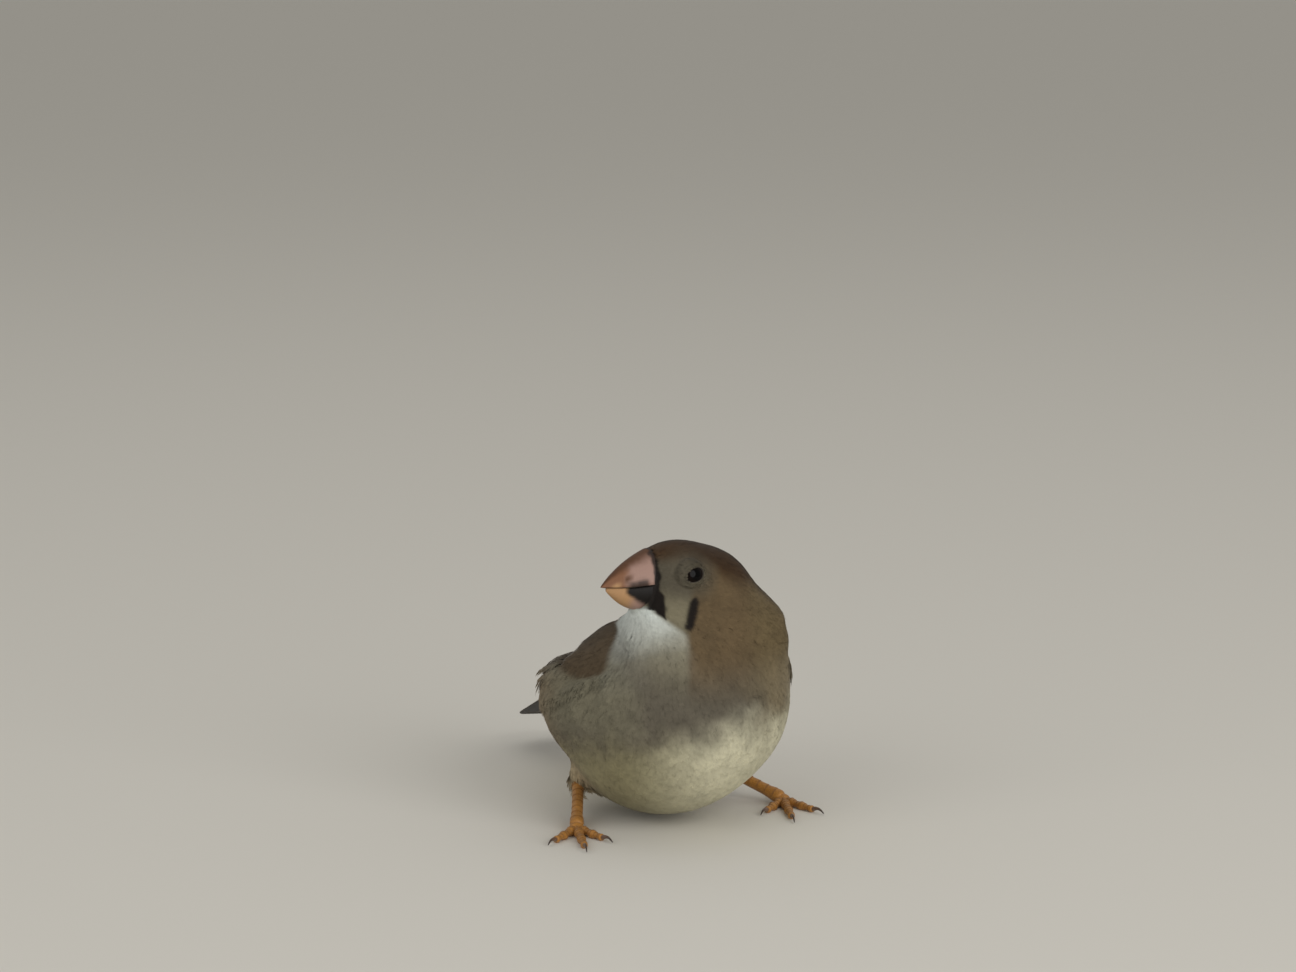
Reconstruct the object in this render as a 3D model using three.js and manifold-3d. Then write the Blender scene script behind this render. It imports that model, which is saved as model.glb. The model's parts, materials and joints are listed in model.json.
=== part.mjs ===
// Zebra finch, a young female, life size, as a still museum model. She stands low and fluffed,
// legs astride, and looks over her right shoulder. The solids reach to the tips of the feathers.
// Units are millimetres. While it is shaped, the bird faces -Y, its left side is +X and +Z is up,
// with the floor at z = 0. The finished group is then moved so that its box is centred on the origin.
import * as THREE from "three";
import { mergeVertices } from "three/addons/utils/BufferGeometryUtils.js";
import Module from "manifold-3d";

const wasm = await Module();
wasm.setup();

// Driving dimensions
const GAP = 0.3; // between pieces that touch
const TARSUS_RADIUS = 0.78;
const BALL_RADIUS = 1.15; // of the foot, where the toes meet
const TOE_RADII = [0.72, 0.56]; // at the ball and at the claw
const CLAW_RADII = [0.42, 0.25];
const FOOT_HEIGHT = 0.5; // of the toes' middle line: their undersides are cut flat by the floor
const EYE_RADIUS = 2.6;
const EYE_SHOWS = 0.5; // how far the ball stands out of the face
const EYE_PLACE = [3.7, 2.0]; // forwards and upwards from the middle of the head
const BILL_BASE = 8.3; // from the middle of the head forwards to the feather edge
const BILL_LENGTH = 7.2;
const BILL_ROOT = 1.6; // the length of it inside the face
const BILL_WIDTH = 7.2;
const TAIL_LENGTH = 37.5;
const TAIL_WIDTH = 11;
const TAIL_SLOPE = -24; // degrees
const WING_SPAN_Y = [-11.5, 39]; // the bend and the tip of the folded wing
const WING_LIFT = 1.0; // how far the closed feathers stand off the body
const WING_DEPTH = 1.5; // how far their bed is sunk in it
const SHANK_RADII = [5.2, 1.5]; // of the feathered leg, at the body and at the heel

const X_AXIS = new THREE.Vector3(1, 0, 0);
const Z_AXIS = new THREE.Vector3(0, 0, 1);
const radians = THREE.MathUtils.degToRad;
const smooth = THREE.MathUtils.smoothstep;
const mix = THREE.MathUtils.lerp;
const vec = (x, y, z) => new THREE.Vector3(x, y, z);

// The head is turned to the bird's right, tipped up a little and rolled so that its left eye looks up.
const HEAD_CENTRE = vec(1.1, -7, 36);
const HEAD_TURN = radians(-80);
const HEAD_TIP = radians(12);
const HEAD_ROLL = radians(12);
const headPose = new THREE.Matrix4()
  .makeTranslation(HEAD_CENTRE)
  .multiply(new THREE.Matrix4().makeRotationZ(HEAD_TURN))
  .multiply(new THREE.Matrix4().makeRotationX(-HEAD_TIP))
  .multiply(new THREE.Matrix4().makeRotationY(-HEAD_ROLL));

const material = (hex, roughness) =>
  new THREE.MeshStandardMaterial({ color: hex, roughness, metalness: 0 });
const PLUMAGE = material(0x8a7f72, 0.9);
const WING_PLUMAGE = material(0x6f6051, 0.85);
const TAIL_PLUMAGE = material(0x2a2624, 0.8);
const EYE_GLOSS = material(0x120c09, 0.1);
const BILL_UPPER_HORN = material(0xc08a72, 0.4);
const BILL_LOWER_HORN = material(0x7a4a34, 0.4);
const LEG_SKIN = material(0xb5653a, 0.55);
const CLAW_HORN = material(0x5d4a3e, 0.45);

// Soft masses of the body

// A function of a point: about how far it lies outside an egg with this centre, these half-axes
// and this nose-down pitch.
function egg(centre, halfAxes, pitch = 0, pose = new THREE.Matrix4()) {
  const toEgg = pose
    .clone()
    .multiply(new THREE.Matrix4().makeTranslation(...centre))
    .multiply(new THREE.Matrix4().makeRotationX(radians(pitch)))
    .invert();
  const radii = vec(...halfAxes);
  const local = vec();
  const squared = vec();
  return (point) => {
    local.copy(point).applyMatrix4(toEgg).divide(radii);
    squared.copy(local).divide(radii);
    const reach = local.length();
    return (reach * (reach - 1)) / Math.max(squared.length(), 1e-9);
  };
}

// Masses joined with a soft fillet of this width.
function blended(masses, width) {
  return (point) =>
    masses
      .map((mass) => mass(point))
      .reduce((a, b) => {
        const near = Math.max(width - Math.abs(a - b), 0) / width;
        return Math.min(a, b) - (near * near * width) / 4;
      });
}

const headForm = blended(
  [
    egg([0, 1.4, 0.0], [8.0, 8.2, 7.4], 0, headPose), // skull
    egg([0, -2.4, 1.0], [7.0, 4.9, 6.4], 0, headPose), // forehead and the ring of the eyes
    egg([0, -4.6, 0.5], [5.7, 5.2, 6.2], 0, headPose), // face, narrowing to the bill
    egg([0, -2.2, -2.8], [6.6, 5.6, 4.4], 0, headPose), // cheeks and chin
  ],
  2,
);
const neckForm = blended(
  [
    egg([5.8, -4.4, 27.4], [12.3, 11.4, 10.4]), // nape, fluffed out on the outside of the turn
    egg([-0.5, -8.5, 27.0], [8.0, 8.6, 8.0]), // throat
  ],
  2,
);
const trunkForm = blended(
  [
    egg([0.2, -4.0, 18.6], [16.9, 16.8, 14.4]), // breast
    egg([-0.9, 0.5, 13.5], [14.0, 16.4, 12.5]), // belly
    egg([0, 7.5, 16.4], [14.6, 18.8, 12.6], -12), // back
    egg([0, -1, 23.4], [10.2, 12.0, 7.6], -18), // shoulders
    egg([0, 25, 17.2], [7.3, 18.6, 5.8], -26), // rump and tail coverts
    egg([-13.4, 1, 18.6], [5.4, 9.5, 7.4]), // fluffed flanks
    egg([13.4, 1, 18.6], [5.4, 9.5, 7.4]),
  ],
  3,
);
const bodyForm = blended([trunkForm, blended([neckForm, headForm], 4)], 3);

// Where a ray from inside a form leaves it.
function leaves(form, from, direction, farthest = 80) {
  const at = vec();
  const inside = (reach) => form(at.copy(from).addScaledVector(direction, reach)) < 0;
  let near = 0;
  while (near < farthest && inside(near + 0.5)) near += 0.5;
  let far = near + 0.5;
  for (let i = 0; i < 16; i++) {
    const middle = (near + far) / 2;
    if (inside(middle)) near = middle;
    else far = middle;
  }
  return (near + far) / 2;
}

// Solids

// Six times the volume inside a closed mesh, negative where its faces point inwards.
function signedVolume(position, index) {
  const corners = [vec(), vec(), vec()];
  let sum = 0;
  for (let i = 0; i < index.length; i += 3) {
    corners.forEach((corner, k) => corner.fromBufferAttribute(position, index[i + k]));
    sum += corners[0].dot(corners[1].cross(corners[2]));
  }
  return sum;
}

function solidOf(geometry) {
  const bare = new THREE.BufferGeometry();
  bare.setAttribute("position", geometry.getAttribute("position"));
  bare.setIndex(geometry.index);
  const merged = mergeVertices(bare, 1e-4);
  const { position } = merged.attributes;
  const triVerts = new Uint32Array(merged.index.array);
  if (signedVolume(position, triVerts) < 0) triVerts.reverse();
  return new wasm.Manifold(
    new wasm.Mesh({ numProp: 3, vertProperties: new Float32Array(position.array), triVerts }),
  );
}

// Every vertex of a geometry moved to where `place` puts it.
function reshaped(geometry, place) {
  const position = geometry.getAttribute("position");
  const at = vec();
  for (let i = 0; i < position.count; i++) {
    at.fromBufferAttribute(position, i);
    const moved = place(at);
    position.setXYZ(i, moved.x, moved.y, moved.z);
  }
  return geometry;
}

// The skin of a form as seen from `centre`: a ball whose vertices are pushed out to meet it.
// `stretch` shares the vertices out along a long form.
function skinOf(form, centre, detail, stretch = vec(1, 1, 1)) {
  return solidOf(
    reshaped(new THREE.IcosahedronGeometry(1, detail), (at) => {
      const direction = at.clone().multiply(stretch).normalize();
      return direction.multiplyScalar(leaves(form, centre, direction)).add(centre);
    }),
  );
}

// A closed tube: `place(along, angle, out)` gives a point for each share of its length, angle round
// it (0 is the +X side of the cylinder's own frame) and share of the way from its middle to its wall.
function tube(sides, steps, place) {
  return solidOf(
    reshaped(new THREE.CylinderGeometry(1, 1, 1, sides, steps), (at) =>
      place(at.y + 0.5, Math.atan2(at.z, at.x), Math.min(1, Math.hypot(at.x, at.z))),
    ),
  );
}

// A round tube along a curve through points, with a radius for each share of its length
function limb(points, radius, sides, steps) {
  const curve = new THREE.CatmullRomCurve3(points);
  return tube(sides, steps, (along, angle, out) => {
    const ahead = curve.getTangentAt(along);
    const side = vec().crossVectors(ahead, Z_AXIS).normalize();
    const up = vec().crossVectors(side, ahead);
    const reach = radius(along) * out;
    return curve
      .getPointAt(along)
      .addScaledVector(side, Math.cos(angle) * reach)
      .addScaledVector(up, Math.sin(angle) * reach);
  });
}

const floorBlock = solidOf(new THREE.BoxGeometry(400, 400, 100).translate(0, 0, -50));

// Wings: a folded wing lies on the body as a shell between two edges, each an angle round the
// body's middle line, measured from straight up.
const wingTop = new THREE.SplineCurve([
  new THREE.Vector2(0, 66),
  new THREE.Vector2(0.1, 45),
  new THREE.Vector2(0.3, 28),
  new THREE.Vector2(0.6, 19),
  new THREE.Vector2(0.8, 26),
  new THREE.Vector2(1, 62),
]);
const wingBottom = new THREE.SplineCurve([
  new THREE.Vector2(0, 84),
  new THREE.Vector2(0.1, 99),
  new THREE.Vector2(0.35, 104),
  new THREE.Vector2(0.65, 98),
  new THREE.Vector2(0.85, 92),
  new THREE.Vector2(1, 76),
]);
const middleLine = (y) => vec(0, y, mix(24.5, 17, smooth(y, -15, 40)));

function wing(side, grow) {
  const [bend, tip] = WING_SPAN_Y;
  const widen = grow * 2.2; // degrees
  return tube(16, 14, (along, angle, out) => {
    const share = (Math.cos(angle) * out + 1) / 2; // 0 at the top edge, 1 at the bottom edge
    const crown = Math.sqrt(Math.max(0, 1 - (2 * share - 1) ** 2));
    const rises = smooth(along, 0, 0.25); // at the bend the feathers of the breast lie over it
    const thins = Math.min(1, 0.45 + 1.6 * (1 - along)); // towards the tip
    const edge = 0.25 * WING_LIFT * rises;
    const outside = mix(edge, WING_LIFT * rises, crown) + grow;
    const inside = mix(edge, -WING_DEPTH * thins - grow, Math.sqrt(crown) * out);

    const y = mix(bend - grow, tip + grow, along);
    const centre = middleLine(y);
    const from = wingTop.getPoint(along).y - widen;
    const to = wingBottom.getPoint(along).y + widen;
    const turn = radians(mix(from, to, share));
    const direction = vec(Math.sin(turn) * side, 0, Math.cos(turn));
    const ground = Math.max(leaves(trunkForm, centre, direction), 1.2);
    const height = Math.sin(angle) * side < 0 ? mix(edge, outside, out) : inside;
    return centre.addScaledVector(direction, ground + height);
  });
}

// Tail: a closed fan of feathers, from inside the rump to its slightly rounded tip
function tail(grow) {
  const root = vec(0, 21.5, 20.6);
  const slope = radians(TAIL_SLOPE);
  const ahead = vec(0, Math.cos(slope), Math.sin(slope));
  const up = vec(0, -Math.sin(slope), Math.cos(slope));
  return tube(14, 10, (along, angle, out) => {
    const halfWidth = mix(3.0, TAIL_WIDTH / 2, smooth(along, 0.1, 0.95)) + grow;
    const thickness = mix(3.2, 0.9, smooth(along, 0, 0.8)) / 2 + grow;
    const across = Math.cos(angle) * out;
    const roof = -0.9 * across * across; // the outer feathers lie lower
    const rounding = -1.6 * across * across * smooth(along, 0.8, 1);
    const reach = mix(-grow, TAIL_LENGTH + grow, along) + rounding;
    return root
      .clone()
      .addScaledVector(ahead, reach)
      .addScaledVector(X_AXIS, -across * halfWidth)
      .addScaledVector(up, roof + Math.sin(angle) * out * thickness);
  });
}

// Head: bill and eyes are shaped in the head's own frame, where it faces -Y. The bill's lines run from
// the feather edge, 0, to the tip, 1.
const culmen = (along) => mix(5.9, -0.8, 1 - Math.pow(1 - along, 0.85)) + 0.4 * Math.sin(Math.PI * along);
const tomium = (along) => mix(0.2, -0.9, along) - 0.2 * Math.sin(Math.PI * along);
const gonys = (along) => mix(-3.5, -1.4, Math.pow(along, 1.3)) - 0.5 * Math.sin(Math.PI * along);
const billHalfWidth = (along) => (BILL_WIDTH / 2) * Math.pow(1 - along * 0.985, 0.72);

function billHalf(upper, grow) {
  const length = (upper ? BILL_LENGTH : BILL_LENGTH - 0.9) + BILL_ROOT;
  return tube(12, 9, (along, angle, out) => {
    const bare = Math.max(0, (along * length - BILL_ROOT) / (length - BILL_ROOT));
    const [edge, ridge] = upper
      ? [tomium(bare) - grow, culmen(bare) + grow]
      : [tomium(bare) - GAP + grow, gonys(bare) - grow];
    const wide = billHalfWidth(bare) * (upper ? 1 : 0.93) + grow;
    const rise = Math.max(0, Math.sin(angle)) ** 0.9 * out; // the half of the tube below is flat
    return vec(
      Math.cos(angle) * out * wide,
      BILL_ROOT - BILL_BASE - along * (length + grow),
      mix(edge, ridge, rise),
    );
  }).transform(headPose.elements);
}

function eyeBall(side, grow) {
  const [ahead, up] = EYE_PLACE;
  const middle = vec(0, -ahead, up).applyMatrix4(headPose);
  const outwards = X_AXIS.clone().multiplyScalar(side).transformDirection(headPose);
  const face = leaves(headForm, middle, outwards);
  const centre = middle.addScaledVector(outwards, face + EYE_SHOWS - EYE_RADIUS);
  return solidOf(new THREE.IcosahedronGeometry(EYE_RADIUS + grow, 2).translate(...centre));
}

// Legs: where each is jointed, and which way its middle toe points, in degrees from straight ahead to
// the bird's left
const LEGS = {
  right: { side: -1, hip: vec(-9.5, 0, 14), heel: vec(-12, 6.4, 5.6), foot: vec(-16.4, -5.4), turn: -12 },
  left: { side: 1, hip: vec(9.5, 5, 13), heel: vec(11.4, 10.4, 5.4), foot: vec(19.6, 0.5), turn: -14 },
};
// The toes in order from the hind toe: their turn outwards from the middle toe, length and claw
const TOES = [
  { turn: 188, length: 6.4, claw: 3.2 },
  { turn: -31, length: 6.4, claw: 2.4 },
  { turn: 0, length: 9.8, claw: 2.8 },
  { turn: 34, length: 7.0, claw: 2.4 },
];

function shank({ hip, heel }, grow) {
  const knee = vec().lerpVectors(hip, heel, 0.55).add(vec(0, -0.8, 0));
  return limb([hip, knee, heel], (along) => mix(...SHANK_RADII, smooth(along, 0.05, 0.95)) + grow, 9, 6);
}

function tarsus({ heel, foot }, grow) {
  const end = vec(foot.x, foot.y, FOOT_HEIGHT + 0.4);
  const swell = (along) => 0.4 * (1 - smooth(along, 0.05, 0.3)) + 0.3 * smooth(along, 0.75, 1);
  const path = [heel, vec().lerpVectors(heel, end, 0.5), end];
  return limb(path, (along) => TARSUS_RADIUS + swell(along) + grow, 7, 6);
}

function ballOfFoot({ foot }, grow) {
  const sphere = new THREE.IcosahedronGeometry(BALL_RADIUS + grow, 1);
  return solidOf(sphere.translate(foot.x, foot.y, FOOT_HEIGHT + 0.2));
}

// A point over the floor, so far out along a toe and so high
function onToe({ foot, side, turn }, toe, reach, height) {
  const heading = radians(turn + toe.turn * side);
  return vec(foot.x + Math.sin(heading) * reach, foot.y - Math.cos(heading) * reach, height);
}

function toePads(leg, toe, grow) {
  const path = [
    onToe(leg, toe, 0, FOOT_HEIGHT + 0.3),
    onToe(leg, toe, toe.length * 0.4, FOOT_HEIGHT),
    onToe(leg, toe, toe.length, FOOT_HEIGHT),
  ];
  const swell = (along) => 0.09 * Math.cos(along * 6 * Math.PI);
  return limb(path, (along) => mix(...TOE_RADII, along) + swell(along) + grow, 6, 6);
}

// A claw arches over to its point, which rests on the floor
function claw(leg, toe) {
  const path = [0, 0.3, 0.65, 1].map((share) => {
    const arch = 0.17 * toe.claw * Math.sin(share * Math.PI) - 0.32 * share;
    return onToe(leg, toe, toe.length + GAP + toe.claw * share, FOOT_HEIGHT + arch);
  });
  return limb(path, (along) => mix(...CLAW_RADII, along), 6, 4);
}

// Parting the whole: the head is cut off level with the chin, and the neck along a plane that
// slopes down to the breast. Each piece is hollowed where another sits in it.
const HEAD_CUT = { up: vec(0.07, -0.42, 0.905).normalize(), at: vec(-5, -9.5, 29.3) };
const NECK_CUT = { up: vec(0, -0.34, 0.94).normalize(), at: vec(0, 6, 28.4) };

function above(solid, { up, at }) {
  return solid.trimByPlane(up.toArray(), up.dot(at) + GAP / 2);
}
function below(solid, { up, at }) {
  const down = up.clone().negate();
  return solid.trimByPlane(down.toArray(), down.dot(at) + GAP / 2);
}
const joined = (solids) => solids.reduce((a, b) => a.add(b));

// What is left of a solid, without the crumbs, once others are cut from it
function cutAway(solid, cutters) {
  const pieces = solid.subtract(joined(cutters)).decompose();
  return pieces.sort((a, b) => b.volume() - a.volume())[0];
}

const bird = new THREE.Group();

function add(name, solid, surface) {
  const { vertProperties, triVerts } = solid.getMesh();
  const geometry = new THREE.BufferGeometry()
    .setAttribute("position", new THREE.BufferAttribute(new Float32Array(vertProperties), 3))
    .setIndex(new THREE.BufferAttribute(new Uint32Array(triVerts), 1));
  geometry.computeVertexNormals();
  const mesh = new THREE.Mesh(geometry, surface);
  mesh.name = name;
  bird.add(mesh);
}

const legs = Object.entries(LEGS);
const wingBeds = [wing(1, GAP), wing(-1, GAP)];
const shankBeds = legs.map(([, leg]) => shank(leg, GAP));
const eyeBeds = [eyeBall(1, GAP), eyeBall(-1, GAP)];
const billBeds = [billHalf(true, GAP), billHalf(false, GAP)];

const headWhole = above(skinOf(bodyForm, vec(1, -7.5, 33), 7), HEAD_CUT);
add("head", cutAway(headWhole, [...billBeds, ...eyeBeds, ...wingBeds]), PLUMAGE);
add("bill_upper", billHalf(true, 0), BILL_UPPER_HORN);
add("bill_lower", billHalf(false, 0), BILL_LOWER_HORN);
add("eye_left", eyeBall(1, 0), EYE_GLOSS);
add("eye_right", eyeBall(-1, 0), EYE_GLOSS);

const neckWhole = below(above(skinOf(bodyForm, vec(1, -6, 26), 7), NECK_CUT), HEAD_CUT);
add("neck", cutAway(neckWhole, wingBeds), PLUMAGE);

const trunkWhole = below(skinOf(bodyForm, vec(0, 4, 18), 9, vec(1, 1.35, 1)), NECK_CUT);
add("trunk", cutAway(trunkWhole, [...wingBeds, ...shankBeds, tail(GAP)]), PLUMAGE);
add("wing_left", wing(1, 0), WING_PLUMAGE);
add("wing_right", wing(-1, 0), WING_PLUMAGE);
add("tail", tail(0), TAIL_PLUMAGE);

for (const [name, leg] of legs) {
  const foot = (grow) => joined([ballOfFoot(leg, grow), ...TOES.map((toe) => toePads(leg, toe, grow))]);
  add(`shank_${name}`, cutAway(shank(leg, 0), [tarsus(leg, GAP)]), PLUMAGE);
  add(`tarsus_${name}`, cutAway(tarsus(leg, 0), [foot(GAP)]), LEG_SKIN);
  add(`foot_${name}`, cutAway(foot(0), [floorBlock]), LEG_SKIN);
  TOES.forEach((toe, i) => add(`claw_${name}_${i + 1}`, cutAway(claw(leg, toe), [floorBlock]), CLAW_HORN));
}

// The origin is on the floor, below the middle of the whole bird's box.
const middleOfBox = new THREE.Box3().setFromObject(bird).getCenter(vec());
bird.position.set(-middleOfBox.x, -middleOfBox.y, 0);

export default bird;
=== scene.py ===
"""Zebra finch: the plumage, wings, tail, bill, eyes, legs and stage of a life-size standing model.

Run as a script in Blender. It builds every piece over the solid frame, in metres.
"""

import json
import math

import bmesh
import bpy
import numpy as np
from bpy.props import FloatProperty, FloatVectorProperty, IntProperty, PointerProperty
from mathutils import Matrix, Vector
from mathutils.bvhtree import BVHTree

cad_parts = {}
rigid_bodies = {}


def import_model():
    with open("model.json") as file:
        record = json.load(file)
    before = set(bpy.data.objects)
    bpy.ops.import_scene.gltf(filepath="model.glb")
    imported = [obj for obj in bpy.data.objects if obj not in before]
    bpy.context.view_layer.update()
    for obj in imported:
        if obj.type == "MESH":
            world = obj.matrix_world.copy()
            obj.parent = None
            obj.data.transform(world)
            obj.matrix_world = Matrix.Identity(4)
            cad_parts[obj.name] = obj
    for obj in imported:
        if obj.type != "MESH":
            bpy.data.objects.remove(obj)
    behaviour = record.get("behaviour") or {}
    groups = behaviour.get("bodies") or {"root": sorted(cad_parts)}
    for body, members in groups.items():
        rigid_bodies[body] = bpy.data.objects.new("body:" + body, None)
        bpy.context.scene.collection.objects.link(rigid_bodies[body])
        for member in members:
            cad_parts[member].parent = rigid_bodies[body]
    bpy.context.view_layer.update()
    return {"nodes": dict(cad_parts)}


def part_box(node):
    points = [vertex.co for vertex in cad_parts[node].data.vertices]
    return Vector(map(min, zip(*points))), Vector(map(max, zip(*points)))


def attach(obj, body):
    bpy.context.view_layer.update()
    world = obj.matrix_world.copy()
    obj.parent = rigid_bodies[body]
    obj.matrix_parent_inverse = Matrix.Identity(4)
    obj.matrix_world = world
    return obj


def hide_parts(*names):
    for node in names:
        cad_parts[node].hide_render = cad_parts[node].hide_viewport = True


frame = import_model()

bl_info = {
    "name": "Zebra finch",
    "version": (1, 0, 0),
    "blender": (4, 5, 0),
    "location": "3D View > Sidebar > Finch",
    "description": "Builds the plumage, bill, eyes, legs and stage of a standing zebra finch",
    "category": "Object",
}

# Places are worked out in millimetres in the bird's own frame: it faces -Y, its left is +X, and the
# origin is on the floor below the trunk. The solid frame is the same bird moved by this much.
SHIFT = np.array((0.21509, -17.57838, 0.0))
MM = 0.001

# The head is turned to the right, tipped up and rolled. In its own frame it faces -Y too.
HEAD_CENTRE = (1.1, -7.0, 36.0)
HEAD_POSE = (
    Matrix.Translation(HEAD_CENTRE)
    @ Matrix.Rotation(math.radians(-80), 4, "Z")
    @ Matrix.Rotation(math.radians(-12), 4, "X")
    @ Matrix.Rotation(math.radians(-12), 4, "Y")
)
HEAD_TURN = np.array(HEAD_POSE.to_3x3())
HEAD_EDGE = (-5.0, -9.5, 29.3)  # a point of the plane where the head parts from the neck
HEAD_EDGE_UP = np.array((0.07, -0.42, 0.905))
EYE_RADIUS = 2.6
EYE_PLACE = (3.7, 2.0)  # forwards and upwards from the middle of the head
EYE_OPENING = (1.58, 1.0)  # half the length and height of the gap between the lids
EYE_SLANT = math.radians(30)  # how far the gap rises towards the back of the head

# Each leg: its side, its hip, heel and foot, and how far its middle toe turns outwards, in degrees
LEGS = {
    "right": (-1, np.array(((-9.5, 0.0, 14.0), (-12.0, 6.4, 5.6), (-16.4, -5.4, 0.9))), -12),
    "left": (1, np.array(((9.5, 5.0, 13.0), (11.4, 10.4, 5.4), (19.6, 0.5, 0.9))), -14),
}
BOOT = 2.8  # how far the feathers reach down the leg below the heel
BOOT_RADII = (1.35, 1.05)

FLESH = ("head", "neck", "trunk", "shank_left", "shank_right")
UNDER_FEATHERS = ("eye_left", "eye_right", "bill_upper", "bill_lower")


def to_bird(points):
    return np.asarray(points, float) / MM - SHIFT


def to_frame(points):
    return (np.asarray(points, float) + SHIFT) * MM


def head_places(points):
    """How far to the head's left, forwards and up from its middle each point lies."""
    local = (points - np.array(HEAD_CENTRE)) @ HEAD_TURN
    return local[..., 0], -local[..., 1], local[..., 2]


def from_head(left, ahead, up):
    local = np.stack(np.broadcast_arrays(left, -np.asarray(ahead, float), up), -1)
    return local @ HEAD_TURN.T + HEAD_CENTRE


def smooth(value, low, high):
    share = np.clip((value - low) / (high - low), 0, 1)
    return share * share * (3 - 2 * share)


def fade(value, low, high):
    return 1 - smooth(value, low, high)


def mix(first, second, share):
    return first + (second - first) * share


def unit(vectors):
    return vectors / np.maximum(np.linalg.norm(vectors, axis=-1, keepdims=True), 1e-9)


def flat_on(vectors, normals):
    """Vectors with the part along the normals taken away, one unit long."""
    return unit(vectors - (vectors * normals).sum(-1, keepdims=True) * normals)


def cloudy(points, size, seed=0):
    """Smooth noise from -1 to 1 whose patches are about this many millimetres across."""
    at = np.asarray(points, float) / size + seed * 17.3
    cell = np.floor(at).astype(np.int64)
    share = at - cell
    share = share * share * (3 - 2 * share)
    total = np.zeros(at.shape[:-1])
    for corner in np.ndindex(2, 2, 2):
        x, y, z = (cell[..., k] + corner[k] for k in range(3))
        mixed = (x * 73856093) ^ (y * 19349663) ^ (z * 83492791) ^ (seed * 2654435)
        mixed = (mixed ^ (mixed >> 13)) * 1274126177
        value = ((mixed ^ (mixed >> 16)) & 0xFFFF) / 32767.5 - 1
        weight = np.ones(total.shape)
        for k in range(3):
            weight = weight * (share[..., k] if corner[k] else 1 - share[..., k])
        total += value * weight
    return total


# Colours


def linear(code):
    """An sRGB hex colour as the linear numbers that Blender works in."""
    parts = [int(code[k : k + 2], 16) / 255 for k in (0, 2, 4)]
    return tuple(p / 12.92 if p <= 0.04045 else ((p + 0.055) / 1.055) ** 2.4 for p in parts)


# The crown's dark brown, made darker still as painted shade of the top of the head
CROWN_AND_SHADE = linear("392714")
FOREHEAD = linear("44301c")
NAPE = linear("64563c")
CHEEK = linear("5f4f38")
FACE_GREY = linear("544e41")
FACE_BAR = linear("7a735e")
BLACK = linear("17110d")
THROAT = linear("d6dcd7")
BREAST = linear("5c564a")
BREAST_SIDE = linear("77725f")
SIDE = linear("776b53")
# Buff of the belly towards the bird's right: partly its own colour, partly painted shade
BELLY_SIDE_AND_SHADE = linear("8e8768")
BELLY = linear("cac5aa")
FLANK = linear("7f7058")
BACK = linear("63564a")
RUMP_SIDE = linear("cfcabd")
VENT = linear("d0c9b2")
SHANK = linear("a8987a")
WING = linear("4f4231")
TAIL = linear("241f1b")
COVERT_BAR = linear("d6d1c5")
LID = linear("5f5848")
LID_RIM = linear("2a241f")


def blend(first, second, share):
    return first + (np.asarray(second) - first) * np.clip(share, 0, 1)[..., None]


def laid_over(colour, *layers):
    """A colour with others laid over it in turn, each as dense as its share."""
    for layer, share in layers:
        colour = blend(colour, layer, share)
    return colour


def even(colour, points):
    """The same colour for each point."""
    return np.broadcast_to(np.array(colour), points.shape)


def stripe(value, middle, half, edge):
    """1 within half of the middle, falling to 0 over the edge."""
    return fade(np.abs(value - middle), half - edge / 2, half + edge / 2)


def over_head(points, low, high):
    """0 below the line where the head parts from the neck, 1 above it, in millimetres."""
    return smooth((points - HEAD_EDGE) @ HEAD_EDGE_UP, low, high)


# Wings: a folded wing lies between two edges, each an angle round the trunk's middle line measured
# from straight up, at even steps from its bend to its tip.
WING_TOP = (66, 45, 28, 19, 26, 62)
WING_BOTTOM = (84, 99, 104, 98, 92, 76)
WING_REACH = (-11.5, 39.0)
WING_CURVES = [np.polyfit(np.linspace(0, 1, 6), angles, 4) for angles in (WING_TOP, WING_BOTTOM)]


def wing_edges(along):
    along = np.clip(along, -0.15, 1.1)
    return np.polyval(WING_CURVES[0], along), np.polyval(WING_CURVES[1], along)


def middle_height(y):
    return 24.5 - 7.5 * smooth(y, -15, 40)


def wing_places(points):
    """How far each point lies along its side's wing, and between the top and the bottom edge."""
    x, y, z = points[..., 0], points[..., 1], points[..., 2]
    along = (y - WING_REACH[0]) / (WING_REACH[1] - WING_REACH[0])
    top, bottom = wing_edges(along)
    angle = np.degrees(np.arctan2(np.abs(x), z - middle_height(y)))
    return along, (angle - top) / (bottom - top)


def flank_line(along, x):
    """The share of the wing's height down to which the flank feathers leave it bare."""
    alongs = (0.0, 0.06, 0.12, 0.2, 0.28, 0.4, 0.55, 0.75, 0.95)
    shares = (1.1, 1.02, 0.92, 0.8, 0.72, 0.68, 0.75, 0.9, 1.1)
    return np.interp(along, alongs, shares) - 0.12 * (x > 0)


def breast_line(share):
    """How far along the wing the feathers of the breast lie over it."""
    shares = (-0.1, 0.0, 0.1, 0.25, 0.5, 0.75, 1.0)
    return np.interp(share, shares, (0.18, 0.16, 0.135, 0.105, 0.075, 0.05, 0.04))


def wing_cover(points):
    """1 where a wing's large feathers lie over the skin, falling to 0 at its edges."""
    along, share = wing_places(points)
    inside = smooth(along, -0.03, 0.06) * fade(along, 0.97, 1.02)
    return inside * smooth(share, -0.03, 0.06) * fade(share, 0.94, 1.03)


def wing_shows(points, edge):
    """1 where the wing isn't hidden by the feathers of the back, breast and flank."""
    along, share = wing_places(points)
    lower, front = flank_line(along, points[..., 0]), breast_line(share) + 0.14 * (points[..., 0] > 0)
    return (
        smooth(along, front - edge / 2, front + edge / 2)
        * smooth(share, 0.07 - edge, 0.07 + edge)
        * fade(share, lower - edge, lower + edge)
    )


def tail_top(y):
    """The height that parts the upper side of the rump and tail from their underside."""
    return 29.2 - 0.445 * y


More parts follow.
